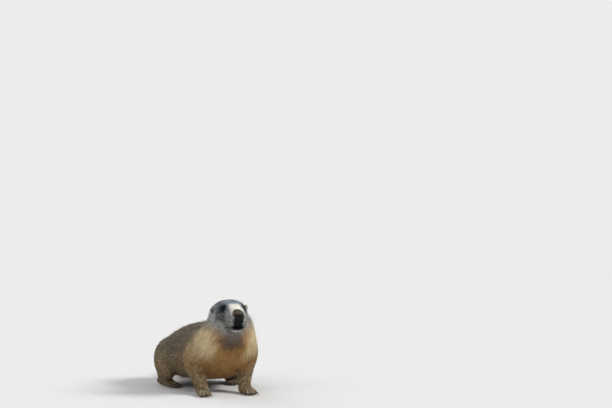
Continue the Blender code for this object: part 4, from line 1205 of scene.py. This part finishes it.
def add_bump(tree, shader, height, strength, distance):
    bump = add_node(tree, "Bump", [("Height", height), ("Strength", strength), ("Distance", distance)])
    feed(tree, shader["Normal"], bump.outputs["Normal"])


def add_pebbles(tree, shader, scale, strength):
    pebbles = add_node(tree, "Group", node_tree=pebble_group())
    feed(tree, pebbles.inputs["Scale"], scale)
    add_bump(tree, shader, pebbles.outputs["Height"], strength, 0.0002)


def attribute(tree, name, output="Fac"):
    return add_node(tree, "Attribute", attribute_name=name).outputs[output]


def coat_material(name, roughness, pale):
    """Fur whose colour comes from the markings stored on the mesh, with tips of the given pale colour."""
    if name in bpy.data.materials:
        return bpy.data.materials[name]
    material, tree, shader = new_material(name, roughness, 0.08)
    feed(tree, shader["Sheen Weight"], 0.02)
    feed(tree, shader["Sheen Roughness"], 0.5)
    tone = add_node(tree, "Group", node_tree=fur_tone_group())
    for key, value in (
        ("Underfur", "underfur"), ("Pale", pale), ("Dark", "dark_tip"),
        ("Marking", attribute(tree, "markings", "Color")), ("Along", attribute(tree, "along")),
        ("Chance", attribute(tree, "chance")), ("Grizzle", attribute(tree, "grizzle")),
    ):
        feed(tree, tone.inputs[key], value)
    feed(tree, shader["Base Color"], tone.outputs["Colour"])
    return material


def fur_material(kind):
    if kind in ("head", "ear"):
        return coat_material("marmot_head_coat", 0.72, "silver")
    return coat_material("marmot_coat", 0.72, "buff")


def skin_material():
    material = coat_material("marmot_hide", 0.9, "buff")
    tree = material.node_tree
    add_bump(tree, tree.nodes["Principled BSDF"].inputs, noise(tree, 900.0, 3.0), 0.5, 0.0006)
    return material


def finish_piece(obj, material, *nodes):
    """Gives a piece its material, lets it ride on the body and stand for its nodes."""
    obj.data.materials.clear()
    obj.data.materials.append(material)
    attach(obj, BODY)
    if nodes:
        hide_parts(*nodes)
    return obj


def flesh_nodes():
    names = ["head", "neck", "torso", "tail"]
    for label in ("left", "right"):
        names += [f"{part}_{label}" for part in ("upperarm", "foreleg", "hindleg", "forepaw", "hindpaw")]
    return names


def make_skin():
    """One skin over the whole body, which lies under the coat."""
    voxel = sizes_now().skin_voxel
    skin = mesh_object("marmot_skin", *joined(body_shells()))
    remesh = skin.modifiers.new("Skin", "REMESH")
    remesh.mode = "VOXEL"
    remesh.voxel_size = voxel
    apply_modifiers(skin)
    places = read_places(skin.data)
    paws = smoothstep(0.022, 0.032, places[:, 2])
    firm = np.maximum(0.15, paws * off_the_tail(places))
    smooth_part(skin, firm, smooth_steps(SKIN_STEPS, voxel))
    places = read_places(skin.data)
    behind = np.clip((places[:, 1] - SOFT_FROM) / SOFT_FADE, 0.0, 1.0)
    above = np.clip((places[:, 2] - SOFT_ABOVE) / SOFT_FADE, 0.0, 1.0)
    smooth_part(skin, np.minimum(behind, above) * off_the_tail(places), smooth_steps(SOFT_STEPS, voxel))
    refine_face(skin)
    raise_forms(skin.data)
    cut_face(skin)
    soften_lips(skin)
    sink_under_coat(skin.data)
    skin.data.shade_smooth()
    places = read_places(skin.data)
    coat = in_shares(places, 12)
    # Painted shade in the mouth, round the eyes and in the ears
    paint_shade_in_openings(places, coat["tint"])
    colour_mesh(skin.data, coat["tint"], 0.4, patches(places, "hide"), coat["grizzle"])
    put_on_stand(skin)
    return finish_piece(skin, skin_material(), *flesh_nodes())


def off_the_tail(places):
    """1 on the body and 0 on the tail."""
    return smoothstep(0.235, 0.215, places[:, 1])


def paint_shade_in_openings(places, tint):
    """Painted shade: black skin in the slit of the mouth, round the eyes and in the ears."""
    gap, front = mouth_gap(in_head(places))
    shade = np.array(colours_now().socket)
    tint[:] = lerp(tint, shade, (smoothstep(0.0062, 0.0040, np.abs(gap)) * front)[:, None])
    for side, _ in SIDES:
        eye = smoothstep(1.6, 1.25, eye_measure(places, side)[0])
        ear = smoothstep(1.40, 1.10, ear_measure(places, side))
        tint[:] = lerp(tint, shade, np.maximum(eye, ear)[:, None])


def sample_roots(mesh, chance):
    """Random places on the faces, as many to each as the coat's density asks for."""
    mesh.calc_loop_triangles()
    corners = np.empty(len(mesh.loop_triangles) * 3, int)
    mesh.loop_triangles.foreach_get("vertices", corners)
    triangle = read_places(mesh)[corners.reshape(-1, 3)]
    wide = np.cross(triangle[:, 1] - triangle[:, 0], triangle[:, 2] - triangle[:, 0])
    area = np.linalg.norm(wide, axis=1) / 2
    wanted = in_shares(triangle.mean(axis=1), 24)["density"] * area * 10000.0
    number = np.floor(wanted + chance.random(len(wanted))).astype(int)
    corner = triangle[np.repeat(np.arange(len(wanted)), number)]
    first = np.sqrt(chance.random(len(corner)))
    second = chance.random(len(corner))
    a, b, c = 1.0 - first, first * (1.0 - second), first * second
    return corner[:, 0] * a[:, None] + corner[:, 1] * b[:, None] + corner[:, 2] * c[:, None]


def lay_on_skin(tree, roots, flow, lengths, steps):
    """Walks each tuft over the skin and returns its places and the skin's normals there."""
    places, normals = [], []
    for root, way, length in zip(roots.tolist(), flow.tolist(), lengths.tolist()):
        place, way, stride = Vector(root), Vector(way), length / steps
        for _ in range(steps + 1):
            place, normal, _, _ = tree.find_nearest(place)
            places.append(place[:])
            normals.append(normal[:])
            step = way - normal * way.dot(normal)
            place = place + step.normalized() * stride
    shape = (len(roots), steps + 1, 3)
    return np.array(places).reshape(shape), np.array(normals).reshape(shape)


def stand_off_the_end(places, normals, flow, lengths):
    """Lets the tufts at the end of the tail run on behind it, where the skin would turn them away."""
    share = np.linspace(0.0, 1.0, places.shape[1])
    facing = (normals[:, 0] * flow).sum(axis=1)
    away = smoothstep(*TAIL_FACING, facing)
    way = unit(flow - normals[:, 0] * (facing * (1.0 - away))[:, None])
    straight = places[:, :1] + way[:, None] * (lengths[:, None] * share)[..., None]
    legs = unit(np.diff(places, axis=1))
    kinked = smoothstep(*TAIL_KINK, (legs[:, 1:] * legs[:, :-1]).sum(axis=2).min(axis=1))
    free = np.maximum(kinked, away)[:, None, None]
    return lerp(places, straight, free), unit(lerp(normals, normals[:, :1], free))


def tuft_arrays(places, normals, width, lift, bend, steps):
    """Points of every tuft: rings of left edge, ridge and right edge, then the tip."""
    share = np.linspace(0.0, 1.0, steps + 1)
    way = unit(np.gradient(places, axis=1))
    across = unit(np.cross(normals, way))
    rise = lift[:, None] * (1.0 - (1.0 - share) ** 1.7) - TUFT_SINK * (1.0 - share) ** 2
    length = np.linalg.norm(places[:, -1] - places[:, 0], axis=1)
    swing = (bend * np.minimum(width * 6.0, length * 0.22))[:, None] * share**2
    middle = places + normals * rise[..., None] + across * swing[..., None]
    form = np.interp(share, *TUFT_FORM)
    half = (width[:, None] * form / 2)[..., None]
    rings = np.stack(
        [middle - across * half, middle + normals * half * TUFT_THICKNESS * 2.0, middle + across * half],
        axis=2,
    )[:, :steps]
    count = len(places)
    points = np.concatenate([rings.reshape(count, steps * 3, 3), middle[:, -1:]], axis=1)
    along = np.append(np.repeat(share[:steps], 3), 1.0)
    side = np.append(np.tile([0.0, 1.0, 2.0], steps), 1.0)
    return points, along, side


def tuft_faces(steps):
    """Corners of one tuft's triangles: the underside first, then the two upper sides."""
    last = (steps - 1) * 3
    tip = steps * 3
    under, upper = [(0, 1, 2)], []
    for ring in range(steps - 1):
        low = ring * 3
        under += [(low, low + 2, low + 3), (low + 2, low + 5, low + 3)]
        for a in (0, 1):
            upper += [(low + a + 1, low + a, low + a + 4), (low + a, low + a + 3, low + a + 4)]
    under.append((last, last + 2, tip))
    upper += [(last + 1, last, tip), (last + 2, last + 1, tip)]
    return np.array(under + upper), len(under)


def mesh_from_triangles(name, points, triangles):
    mesh = bpy.data.meshes.new(name)
    mesh.vertices.add(len(points))
    mesh.vertices.foreach_set("co", points.astype(np.float32).ravel())
    mesh.loops.add(triangles.size)
    mesh.loops.foreach_set("vertex_index", triangles.astype(np.int32).ravel())
    mesh.polygons.add(len(triangles))
    mesh.polygons.foreach_set("loop_start", np.arange(0, triangles.size, 3, dtype=np.int32))
    mesh.update(calc_edges=True)
    mesh.shade_smooth()
    return new_object(name, mesh)


def tuft_piece(name, tufts, steps, chosen, material):
    """One object from the chosen tufts, with its markings and its bake map."""
    points = tufts["points"][chosen]
    count, per_tuft = len(points), points.shape[1]
    faces, under = tuft_faces(steps)
    triangles = (faces[None] + (np.arange(count) * per_tuft)[:, None, None]).reshape(-1, 3)
    obj = mesh_from_triangles(name, points.reshape(-1, 3) + STAND, triangles)
    along, side = tufts["along"], tufts["side"]
    tint, luck, grizzle = (
        np.repeat(tufts[key][chosen], per_tuft, axis=0) for key in ("tint", "chance", "grizzle")
    )
    colour_mesh(obj.data, tint, np.tile(along, count), luck, grizzle)
    root = tufts["unwrap"][chosen]
    low, high = root.min(axis=0), root.max(axis=0)
    root = UV_PATCH + (root - low) / (high - low) * (1.0 - 3.0 * UV_PATCH)
    corner_along = along[faces] * UV_PATCH
    corner_side = side[faces] * UV_PATCH / 3.0
    corner_side[:under] = UV_PATCH * 2.0 / 3.0 + side[faces[:under]] * UV_PATCH / 6.0
    patch = np.stack([corner_along, corner_side], axis=-1)
    layer = obj.data.uv_layers.new(name="OFBake")
    layer.data.foreach_set("uv", (root[:, None, None] + patch[None]).astype(np.float32).ravel())
    return finish_piece(obj, material)


def unwrap_roots(points, part, station):
    """A cylinder unwrap of each part: how far along it and how far round it a root is."""
    sky = np.array((0.0, 0.3, 1.0))
    unwrapped = np.zeros((len(points), 2))
    for index, middle in enumerate(BODY_MAP.middles):
        here = part == index
        nearest = station[here, index]
        arm = points[here] - middle[nearest]
        way = BODY_MAP.ways[index][nearest]
        upward = unit(sky - way * (way @ sky)[:, None])
        across = np.cross(way, upward)
        turn = np.arctan2((arm * across).sum(axis=1), (arm * upward).sum(axis=1))
        slip = (arm * way).sum(axis=1) / np.linalg.norm(middle[-1] - middle[0])
        shelf = 1.3 * BODY_MAP.kinds[:index].count(BODY_MAP.kinds[index])
        unwrapped[here, 0] = nearest / (len(middle) - 1) + slip + shelf
        unwrapped[here, 1] = turn / (2.0 * math.pi)
    return unwrapped


def dress_surface(surface):
    """The roots of all tufts, with their sizes, lie and colours."""
    chance = np.random.default_rng(COAT_SEED)
    roots = sample_roots(surface, chance)
    fur = in_shares(roots, 24)
    count = len(roots)
    on = {kind: fur["part"] == BODY_MAP.kinds.index(kind) for kind in ("trunk", "head", "tail")}
    clumps = np.where(on["head"], patches(roots, "head_clumps"), patches(roots, "clumps"))
    fur["chance"] = np.clip(0.62 * chance.random(count) + 0.76 * (clumps - 0.5) + 0.19, 0.0, 1.0)
    fur["lift"] = fur["depth"]
    for key, low, high in TUFT_SPREAD:
        fur[key] = fur[key] * chance.uniform(low, high, count)
    fur["bend"] = chance.normal(size=count) * 0.5
    for key, low, high in TAIL_SPREAD:
        fur[key] = np.where(on["tail"], fur[key] * chance.uniform(low, high, count), fur[key])
    calm = np.clip(fur["length"] / 0.03, 0.35, 1.0)[:, None]
    wander = chance.normal(size=(count, 3)) * 0.15 * calm
    clump = np.stack([waves(roots, LIE_PATCH, lie_seed) - 0.5 for lie_seed in LIE_SEEDS], axis=1)
    fur["flow"] = unit(fur["flow"] + wander + clump * 0.55 * np.sqrt(calm))
    guard = on["trunk"] & (chance.random(count) < GUARD_SHARE)
    for key, share in GUARD_HAIR:
        fur[key] = np.where(guard, fur[key] * share, fur[key])
    fur["roots"], fur["unwrap"] = roots, unwrap_roots(roots, fur["part"], fur["station"])
    return fur


def make_coat():
    """Solid tufts over the whole skin, in pieces that each stay under the limit of triangles."""
    surface = bpy.data.objects["marmot_skin"].data.copy()
    surface.transform(Matrix.Translation(-STAND))
    work = bmesh.new()
    work.from_mesh(surface)
    tree = BVHTree.FromBMesh(work)
    work.free()
    whole = dress_surface(surface)
    for kind in COAT:
        steps = 3 if kind == "tail" else 2
        indices = [index for index, name in enumerate(BODY_MAP.kinds) if name == kind]
        here = np.isin(whole["part"], indices)
        fur = {key: values[here] for key, values in whole.items()}
        places, normals = lay_on_skin(tree, fur["roots"], fur["flow"], fur["length"], steps)
        if kind == "tail":
            fur["bend"] *= TAIL_CALM
            short = fur["length"] * TAIL_END_LENGTH
            places, normals = stand_off_the_end(places, normals, fur["flow"], short)
        points, fur["along"], fur["side"] = tuft_arrays(
            places, normals, fur["width"], fur["lift"], fur["bend"], steps
        )
        points[..., 2] = np.maximum(points[..., 2], FLOOR_GAP)
        fur["points"] = points
        order = np.lexsort((fur["unwrap"][:, 0], fur["part"]))
        shares = math.ceil(len(points) * len(tuft_faces(steps)[0]) / PIECE_TRIANGLES)
        for number, some in enumerate(np.array_split(order, shares), 1):
            tuft_piece(f"coat_{kind}_{number}", fur, steps, some, fur_material(kind))


def make_floor_and_light():
    reach = sizes_now().floor_radius
    corners = [(x * reach, y * reach, 0.0) for x, y in ((-1, -1), (1, -1), (1, 1), (-1, 1))]
    floor = mesh_object("floor", corners, [(0, 1, 2, 3)])
    material, tree, shader = new_material("studio_floor", 0.9, 0.1)
    shaded = tuple(value * 0.975 for value in colours_now().floor)
    tint = blend_colours(tree, ramp(tree, noise(tree, 60.0, 4.0), 0.3, 0.7), "floor", shaded)
    feed(tree, shader["Base Color"], tint)
    floor.data.materials.append(material)
    world = bpy.data.worlds.new("studio")
    world.use_nodes = True
    background = world.node_tree.nodes["Background"]
    background.inputs["Color"].default_value = SKY_COLOUR
    background.inputs["Strength"].default_value = SKY_STRENGTH
    bpy.context.scene.world = world
    for name, source, power, spread in LAMPS:
        light = bpy.data.lights.new(name, "SUN")
        light.energy = power
        light.angle = math.radians(spread)
        lamp = new_object(name, light)
        lamp.rotation_mode = "QUATERNION"
        lamp.rotation_quaternion = Vector(source).to_track_quat("Z", "Y")
        lamp.visible_glossy = name != "back"


def make_camera():
    """The photo's view. The nose is where it is in the photo."""
    camera = bpy.data.cameras.new("camera")
    camera.sensor_width = SENSOR_WIDTH
    camera.lens = SENSOR_WIDTH * VIEW_DISTANCE / VIEW_WIDTH
    camera.clip_end = 1000.0
    eye = new_object("camera", camera)
    back = Vector((
        math.sin(VIEW_AZIMUTH) * math.cos(VIEW_ELEVATION),
        -math.cos(VIEW_AZIMUTH) * math.cos(VIEW_ELEVATION),
        math.sin(VIEW_ELEVATION),
    ))
    eye.rotation_mode = "QUATERNION"
    eye.rotation_quaternion = back.to_track_quat("Z", "Y")
    metre = PHOTO_SIZE[0] / VIEW_WIDTH
    right = eye.rotation_quaternion @ Vector((1.0, 0.0, 0.0))
    upward = eye.rotation_quaternion @ Vector((0.0, 1.0, 0.0))
    aim = head_point(NOSE_PLACE) + Vector(STAND)
    aim = aim + right * (PHOTO_SIZE[0] / 2 - PHOTO_NOSE[0]) / metre
    aim = aim + upward * (PHOTO_NOSE[1] - PHOTO_SIZE[1] / 2) / metre
    eye.location = aim + back * VIEW_DISTANCE
    bpy.context.scene.camera = eye
    bpy.context.scene.view_settings.view_transform = "Standard"


def make_eyes():
    """Dark glossy eyeballs, each with a bare rim on its lids."""
    material, tree, shader = new_material("marmot_eye", 0.05, 0.09)
    where = add_node(tree, "TexCoord").outputs["Object"]
    split = add_node(tree, "SeparateXYZ")
    tree.links.new(where, split.inputs[0])
    iris = ramp(tree, split.outputs["Z"], EYE_RADIUS * 0.90, EYE_RADIUS * 0.80)
    fleck = times(tree, iris, ramp(tree, noise(tree, 700.0, 3.0, where), 0.35, 0.7, 0.4, 1.0))
    feed(tree, shader["Base Color"], blend_colours(tree, fleck, (0.0015, 0.0012, 0.0012), "iris"))
    rim_material, tree, shader = new_material("marmot_lid_rim", 0.55, 0.1)
    tint = blend_colours(tree, noise(tree, 800.0, 2.0), "lid_rim", (0.002, 0.002, 0.002))
    feed(tree, shader["Base Color"], tint)
    add_bump(tree, shader, noise(tree, 2500.0, 2.0), 0.4, 0.0001)
    for side, label in SIDES:
        eye = ball(f"eye_{label}", 48, 32, EYE_RADIUS)
        eye.matrix_world = Matrix.Translation(STAND) @ gaze_matrix(side)
        finish_piece(eye, material, f"eye_{label}")
        rim = put_on_stand(mesh_object(f"lid_rim_{label}", *lid_rim(side)))
        finish_piece(rim, rim_material)


def lid_rim(side):
    """A thin ring along the edge of both lids."""
    turns, around = 56, 10
    total = turns * around
    wide, high = LID_OPENING
    tilt = LID_TILT * side
    points, faces = [], []
    for step in range(turns):
        angle = 2.0 * math.pi * step / turns
        edge = abs(math.cos(angle)) ** LID_POINT + abs(math.sin(angle)) ** LID_POINT
        edge = LID_EDGE / edge ** (1.0 / LID_POINT)
        x, y = wide * edge * math.cos(angle), high * edge * math.sin(angle)
        x, y = x * math.cos(tilt) - y * math.sin(tilt), x * math.sin(tilt) + y * math.cos(tilt)
        radius = EYE_RADIUS + LID_THICKNESS * 0.45
        middle = np.array((x, y, math.sqrt(radius**2 - x * x - y * y)))
        out = middle / np.linalg.norm(middle)
        away = np.array((x, y, 0.0)) / math.hypot(x, y)
        away = away - out * (away @ out)
        for part in range(around):
            turn = 2.0 * math.pi * part / around
            points.append(middle + (out * math.cos(turn) + away * math.sin(turn)) * LID_RIM_RADIUS)
            low, after = step * around + part, step * around + (part + 1) % around
            faces.append((low, after, (after + around) % total, (low + around) % total))
    return moved(np.array(points), gaze_matrix(side)), faces


def make_nose():
    """The bare nose pad with its nostrils and the groove between them."""
    nose = ball("nose_pad", 96, 64)
    mesh = nose.data
    places = read_places(mesh)
    ahead = places[:, 1] > 0.0
    places[:, 1] = np.where(ahead, np.abs(places[:, 1]) ** NOSE_BLUNTNESS, places[:, 1])
    places *= np.array(NOSE_SIZE)
    places[:, 0] *= 1.05 - 0.30 * smoothstep(0.001, -0.008, places[:, 2])
    places[:, 2] *= 1.0 + 0.12 * smoothstep(0.0, 0.004, places[:, 2])
    places[:, 1] -= NOSE_LEAN * np.maximum(places[:, 2], 0.0)
    at = places + np.array(NOSE_PLACE)
    hollow = np.zeros(len(places))
    for sign in (1, -1):
        gap = at - np.array((NOSTRIL_PLACE.x * sign, NOSTRIL_PLACE.y, NOSTRIL_PLACE.z))
        gap[:, 2] += 0.50 * sign * gap[:, 0] + 45.0 * gap[:, 0] ** 2
        away = np.hypot(gap[:, 0] / NOSTRIL_SIZE[0], gap[:, 2] / NOSTRIL_SIZE[1])
        away = np.where(ahead, away, 9.0)
        hollow = np.maximum(hollow, smoothstep(1.0, 0.3, away))
        places[:, 1] += NOSTRIL_LIP * smoothstep(1.9, 1.2, away) * smoothstep(0.7, 1.2, away)
    places[:, 1] -= NOSTRIL_DEPTH * hollow
    groove = smoothstep(GROOVE_HALF, 0.0, np.abs(places[:, 0]))
    groove = groove * smoothstep(0.005, -0.001, places[:, 2]) * ahead
    places[:, 1] -= GROOVE_DEPTH * groove
    # Near black on the lower part of the nose, and painted shade in the nostrils and the groove between them
    layer = mesh.attributes.new("shade", "FLOAT", "POINT")
    shade = np.maximum(smoothstep(0.0060, 0.0010, places[:, 2]) * 0.96, np.maximum(hollow, groove))
    layer.data.foreach_set("value", shade.astype(np.float32))
    write_places(mesh, moved(places + np.array(NOSE_PLACE), head_matrix()))
    put_on_stand(nose)
    material, tree, shader = new_material("marmot_nose", 0.5, 0.11)
    tint = blend_colours(tree, noise(tree, 260.0, 3.0), "nose_leather", (0.110, 0.074, 0.050))
    tint = blend_colours(tree, attribute(tree, "shade"), tint, (0.004, 0.0035, 0.003))
    feed(tree, shader["Base Color"], tint)
    add_pebbles(tree, shader, 1100.0, 0.35)
    finish_piece(nose, material, "nose")


def make_ears():
    """Small round cups, open to the front and the side, with a fringe of short fur."""
    material, tree, shader = new_material("marmot_ear", 0.75, 0.3)
    tint = blend_colours(tree, noise(tree, 500.0, 3.0), "ear_skin", "mask")
    feed(tree, shader["Base Color"], tint)
    add_pebbles(tree, shader, 900.0, 0.3)
    chance = np.random.default_rng(EAR_SEED)
    for side, label in SIDES:
        ear = ball(f"ear_{label}", 48, 32, 1.0, EAR_SIZE, EAR_OPEN_FROM)
        shell = ear.modifiers.new("Shell", "SOLIDIFY")
        shell.thickness = EAR_SHELL
        shell.offset = -1.0
        apply_modifiers(ear)
        ear.data.shade_smooth()
        grow_ear_fur(ear, side, label, chance)
        ear.data.transform(Matrix.Translation(STAND) @ ear_matrix(side))
        finish_piece(ear, material, f"ear_{label}")


def grow_ear_fur(ear, side, label, chance):
    """Short tufts on the back of the cup, and longer pale ones along its rim and in its upper half."""
    count, steps = EAR_TUFTS, 2
    places, normals = read_places(ear.data), read_normals(ear.data)
    rim = places[:, 1] > EAR_SIZE[1] * 0.02
    upper = places[:, 2] > EAR_SIZE[2] * 0.15
    outer = (places * normals).sum(axis=1) > 0
    back = outer & (places[:, 2] > -EAR_SIZE[2] * 0.55) & (upper | ~rim)
    inside = ~outer & (places[:, 2] > -EAR_SIZE[2] * 0.05)
    pool = np.nonzero(back | inside)[0]
    odds = np.where(inside[pool], 1.6, np.where(rim[pool], 4.0, 1.0))
    chosen = chance.choice(pool, size=count, p=odds / odds.sum())
    place, normal, within = places[chosen], normals[chosen], inside[chosen]
    root = place + chance.normal(size=(count, 3)) * 0.0003
    upward = np.array((0.0, -0.30, 1.0)) + place * 40.0
    upward = np.where(within[:, None], np.array((0.0, 0.9, -0.35)), upward)
    way = upward - normal * (upward * normal).sum(axis=1)[:, None]
    way = unit(way + chance.normal(size=(count, 3)) * 0.2)
    short, long = EAR_TUFT_LENGTHS
    length = np.where(rim[chosen] & upper[chosen], long, short) * chance.uniform(0.7, 1.2, count)
    share = np.linspace(0.0, 1.0, steps + 1)
    points, along, across = tuft_arrays(
        root[:, None] + way[:, None] * (length[:, None] * share)[..., None],
        np.repeat(normal[:, None], steps + 1, axis=1),
        np.full(count, EAR_TUFT_WIDTH), np.full(count, EAR_TUFT_LIFT), np.zeros(count), steps,
    )
    pale = smoothstep(-0.2, 0.6, place[:, 1] / EAR_SIZE[1])
    pale = np.where(within, smoothstep(-0.1, 0.8, place[:, 2] / EAR_SIZE[2]), pale)[:, None]
    shades = colours_now()
    tufts = {
        "points": moved(points.reshape(-1, 3), ear_matrix(side)).reshape(points.shape),
        "along": along, "side": across,
        "tint": lerp(np.array(shades.crown)[None], np.array(shades.ear_fringe)[None], pale),
        "chance": chance.random(count), "grizzle": np.full(count, 0.4),
        "unwrap": np.column_stack([np.arctan2(root[:, 0], -root[:, 1]), root[:, 2] * 100.0]),
    }
    tuft_piece(f"coat_ear_{label}", tufts, steps, np.arange(count), fur_material("ear"))


def make_claws():
    """A curved dark claw on each toe."""
    material, tree, shader = new_material("marmot_claw", 0.38)
    streak = noise(tree, 120.0, 4.0, None, (8.0, 1.0, 8.0))
    tint = blend_colours(tree, ramp(tree, streak, 0.35, 0.7), "claw_horn", (0.13, 0.10, 0.075))
    feed(tree, shader["Base Color"], tint)
    add_bump(tree, shader, streak, 0.3, 0.0002)
    for side, label in SIDES:
        for end, (_, _, (length, width, _), toes, claw_length) in PAWS.items():
            for toe in range(toes):
                tip = toe_rows(toe, toes, length, width)[-1]
                root = (tip[0], tip[1] - TOE_RADIUS * 0.20, tip[2] + TOE_RADIUS * 0.25)
                rows = []
                for share in (0.0, 0.3, 0.6, 0.85, 1.0):
                    thick = CLAW_RADIUS * (1.0 - 0.82 * share)
                    drop = (root[2] - CLAW_RADIUS * 0.45) * share * share
                    rows.append((
                        root[0] * (1.0 + 0.04 * share), root[1] - claw_length * share, root[2] - drop,
                        thick * 0.72, thick, thick,
                    ))
                points, faces = loft(rows, 14, 16, 0.002, 0.0005)
                name = f"claw_{end}_{label}_{toe + 1}"
                claw = mesh_object(f"horn_{name}", moved(points, paw_matrix(end, side)), faces)
                finish_piece(put_on_stand(claw), material, name)


def tube(points, radii, sides=6):
    """A thin round hair through points, which ends in a point."""
    way = unit(np.gradient(points, axis=0))
    across = unit(np.cross(way, np.array((0.03, 0.05, 1.0))))
    other = np.cross(way, across)
    turn = np.linspace(0.0, 2.0 * math.pi, sides, endpoint=False)
    rings = [
        middle + radius * (np.cos(turn)[:, None] * a + np.sin(turn)[:, None] * b)
        for middle, radius, a, b in zip(points[:-1], radii[:-1], across, other)
    ]
    every = np.concatenate([*rings, points[-1:]])
    faces = [tuple(range(sides))[::-1]]
    for ring in range(len(rings) - 1):
        for side in range(sides):
            low, after = ring * sides + side, ring * sides + (side + 1) % sides
            faces.append((low, after, after + sides, low + sides))
    low = (len(rings) - 1) * sides
    for side in range(sides):
        faces.append((low + side, low + (side + 1) % sides, len(every) - 1))
    return every, faces


def make_whiskers():
    """Stiff dark whiskers in rows on the upper lip, with a few over the eyes."""
    chance = np.random.default_rng(WHISKER_SEED)
    skin = surface_tree(bpy.data.objects["marmot_skin"])

    def root(start, side):
        return skin.find_nearest(head_point(start, side) + Vector(STAND))[0]

    shells = []
    for side, _ in SIDES:
        for number in range(sizes_now().whiskers):
            row, place = number % 4, number // 4
            hit = root((0.030, 0.101 - 0.0045 * place, 0.002 - 0.0042 * row), side)
            length = sizes_now().whisker_length * (0.5 + 0.16 * place) * chance.uniform(0.75, 1.0)
            way = np.array((0.80, -0.30 - 0.12 * place, 0.12 - 0.14 * row)) + chance.normal(size=3) * 0.07
            shells.append(whisker(hit, way, length, side, WHISKER_RADIUS))
        for number in range(BROW_WHISKERS):
            hit = root((0.0215 + 0.001 * number, 0.0640 - 0.002 * number, 0.0400), side)
            way = np.array((0.45, 0.05, 0.80)) + chance.normal(size=3) * 0.08
            length = BROW_WHISKER_LENGTH * chance.uniform(0.8, 1.2)
            shells.append(whisker(hit, way, length, side, BROW_WHISKER_RADIUS))
    material, tree, shader = new_material("marmot_whisker", 0.4)
    tint = blend_colours(tree, noise(tree, 90.0, 1.0), (0.015, 0.013, 0.012), (0.10, 0.085, 0.07))
    feed(tree, shader["Base Color"], tint)
    finish_piece(mesh_object("whiskers", *joined(shells)), material)


def whisker(root, way, length, side, radius):
    """A whisker that springs from root and droops a little towards its tip."""
    turn = np.array(head_matrix().to_3x3())
    way = unit(np.array((-way[0] * side, way[1], way[2]))) @ turn.T
    share = np.linspace(-0.04, 1.0, 12)
    points = np.array(root) + way * (length * share)[:, None]
    out = np.clip(share, 0, 1)
    points[:, 2] -= length * WHISKER_DROOP * out**2
    points[:, 1] += length * WHISKER_SWEEP * out**2
    return tube(points, radius * (1.0 - 0.85 * out))


class MARMOT_OT_stage(bpy.types.Operator):
    """Make the floor, the lights and the camera"""

    bl_idname = "marmot.stage"
    bl_label = "Stage"

    def execute(self, context):
        make_floor_and_light()
        make_camera()
        return {"FINISHED"}


class MARMOT_OT_skin(bpy.types.Operator):
    """Make the one skin that lies under the coat"""

    bl_idname = "marmot.skin"
    bl_label = "Skin"

    def execute(self, context):
        make_skin()
        return {"FINISHED"}


class MARMOT_OT_coat(bpy.types.Operator):
    """Grow tufts of fur over the skin"""

    bl_idname = "marmot.coat"
    bl_label = "Coat"

    def execute(self, context):
        make_coat()
        return {"FINISHED"}


class MARMOT_OT_eyes(bpy.types.Operator):
    """Make the eyes and the rims of their lids"""

    bl_idname = "marmot.eyes"
    bl_label = "Eyes"

    def execute(self, context):
        make_eyes()
        return {"FINISHED"}


class MARMOT_OT_nose(bpy.types.Operator):
    """Make the nose pad with its nostrils"""

    bl_idname = "marmot.nose"
    bl_label = "Nose"

    def execute(self, context):
        make_nose()
        return {"FINISHED"}


class MARMOT_OT_ears(bpy.types.Operator):
    """Make the ears and the short fur on them"""

    bl_idname = "marmot.ears"
    bl_label = "Ears"

    def execute(self, context):
        make_ears()
        return {"FINISHED"}


class MARMOT_OT_claws(bpy.types.Operator):
    """Make a claw on every toe"""

    bl_idname = "marmot.claws"
    bl_label = "Claws"

    def execute(self, context):
        make_claws()
        return {"FINISHED"}


class MARMOT_OT_whiskers(bpy.types.Operator):
    """Make the whiskers of the lip and the brow"""

    bl_idname = "marmot.whiskers"
    bl_label = "Whiskers"

    def execute(self, context):
        make_whiskers()
        return {"FINISHED"}


OPERATORS = (
    MARMOT_OT_stage, MARMOT_OT_skin, MARMOT_OT_coat, MARMOT_OT_eyes, MARMOT_OT_nose, MARMOT_OT_ears,
    MARMOT_OT_claws, MARMOT_OT_whiskers,
)


class MARMOT_PT_build(bpy.types.Panel):
    """Buttons for each piece, and the sizes and colours they use."""

    bl_label = "Marmot"
    bl_space_type = "VIEW_3D"
    bl_region_type = "UI"
    bl_category = "Marmot"

    def draw(self, context):
        for maker in OPERATORS:
            self.layout.operator(maker.bl_idname)
        for group in (context.scene.marmot_sizes, context.scene.marmot_colours):
            for name in group.__annotations__:
                self.layout.prop(group, name)


CLASSES = (MarmotSizes, MarmotColours, *OPERATORS, MARMOT_PT_build)


def register():
    for each in CLASSES:
        bpy.utils.register_class(each)
    bpy.types.Scene.marmot_sizes = PointerProperty(type=MarmotSizes)
    bpy.types.Scene.marmot_colours = PointerProperty(type=MarmotColours)


def unregister():
    del bpy.types.Scene.marmot_sizes
    del bpy.types.Scene.marmot_colours
    for each in reversed(CLASSES):
        bpy.utils.unregister_class(each)


def main():
    register()
    for step in ("stage", "skin", "coat", "eyes", "nose", "ears", "claws", "whiskers"):
        getattr(bpy.ops.marmot, step)()


if __name__ == "__main__":
    main()
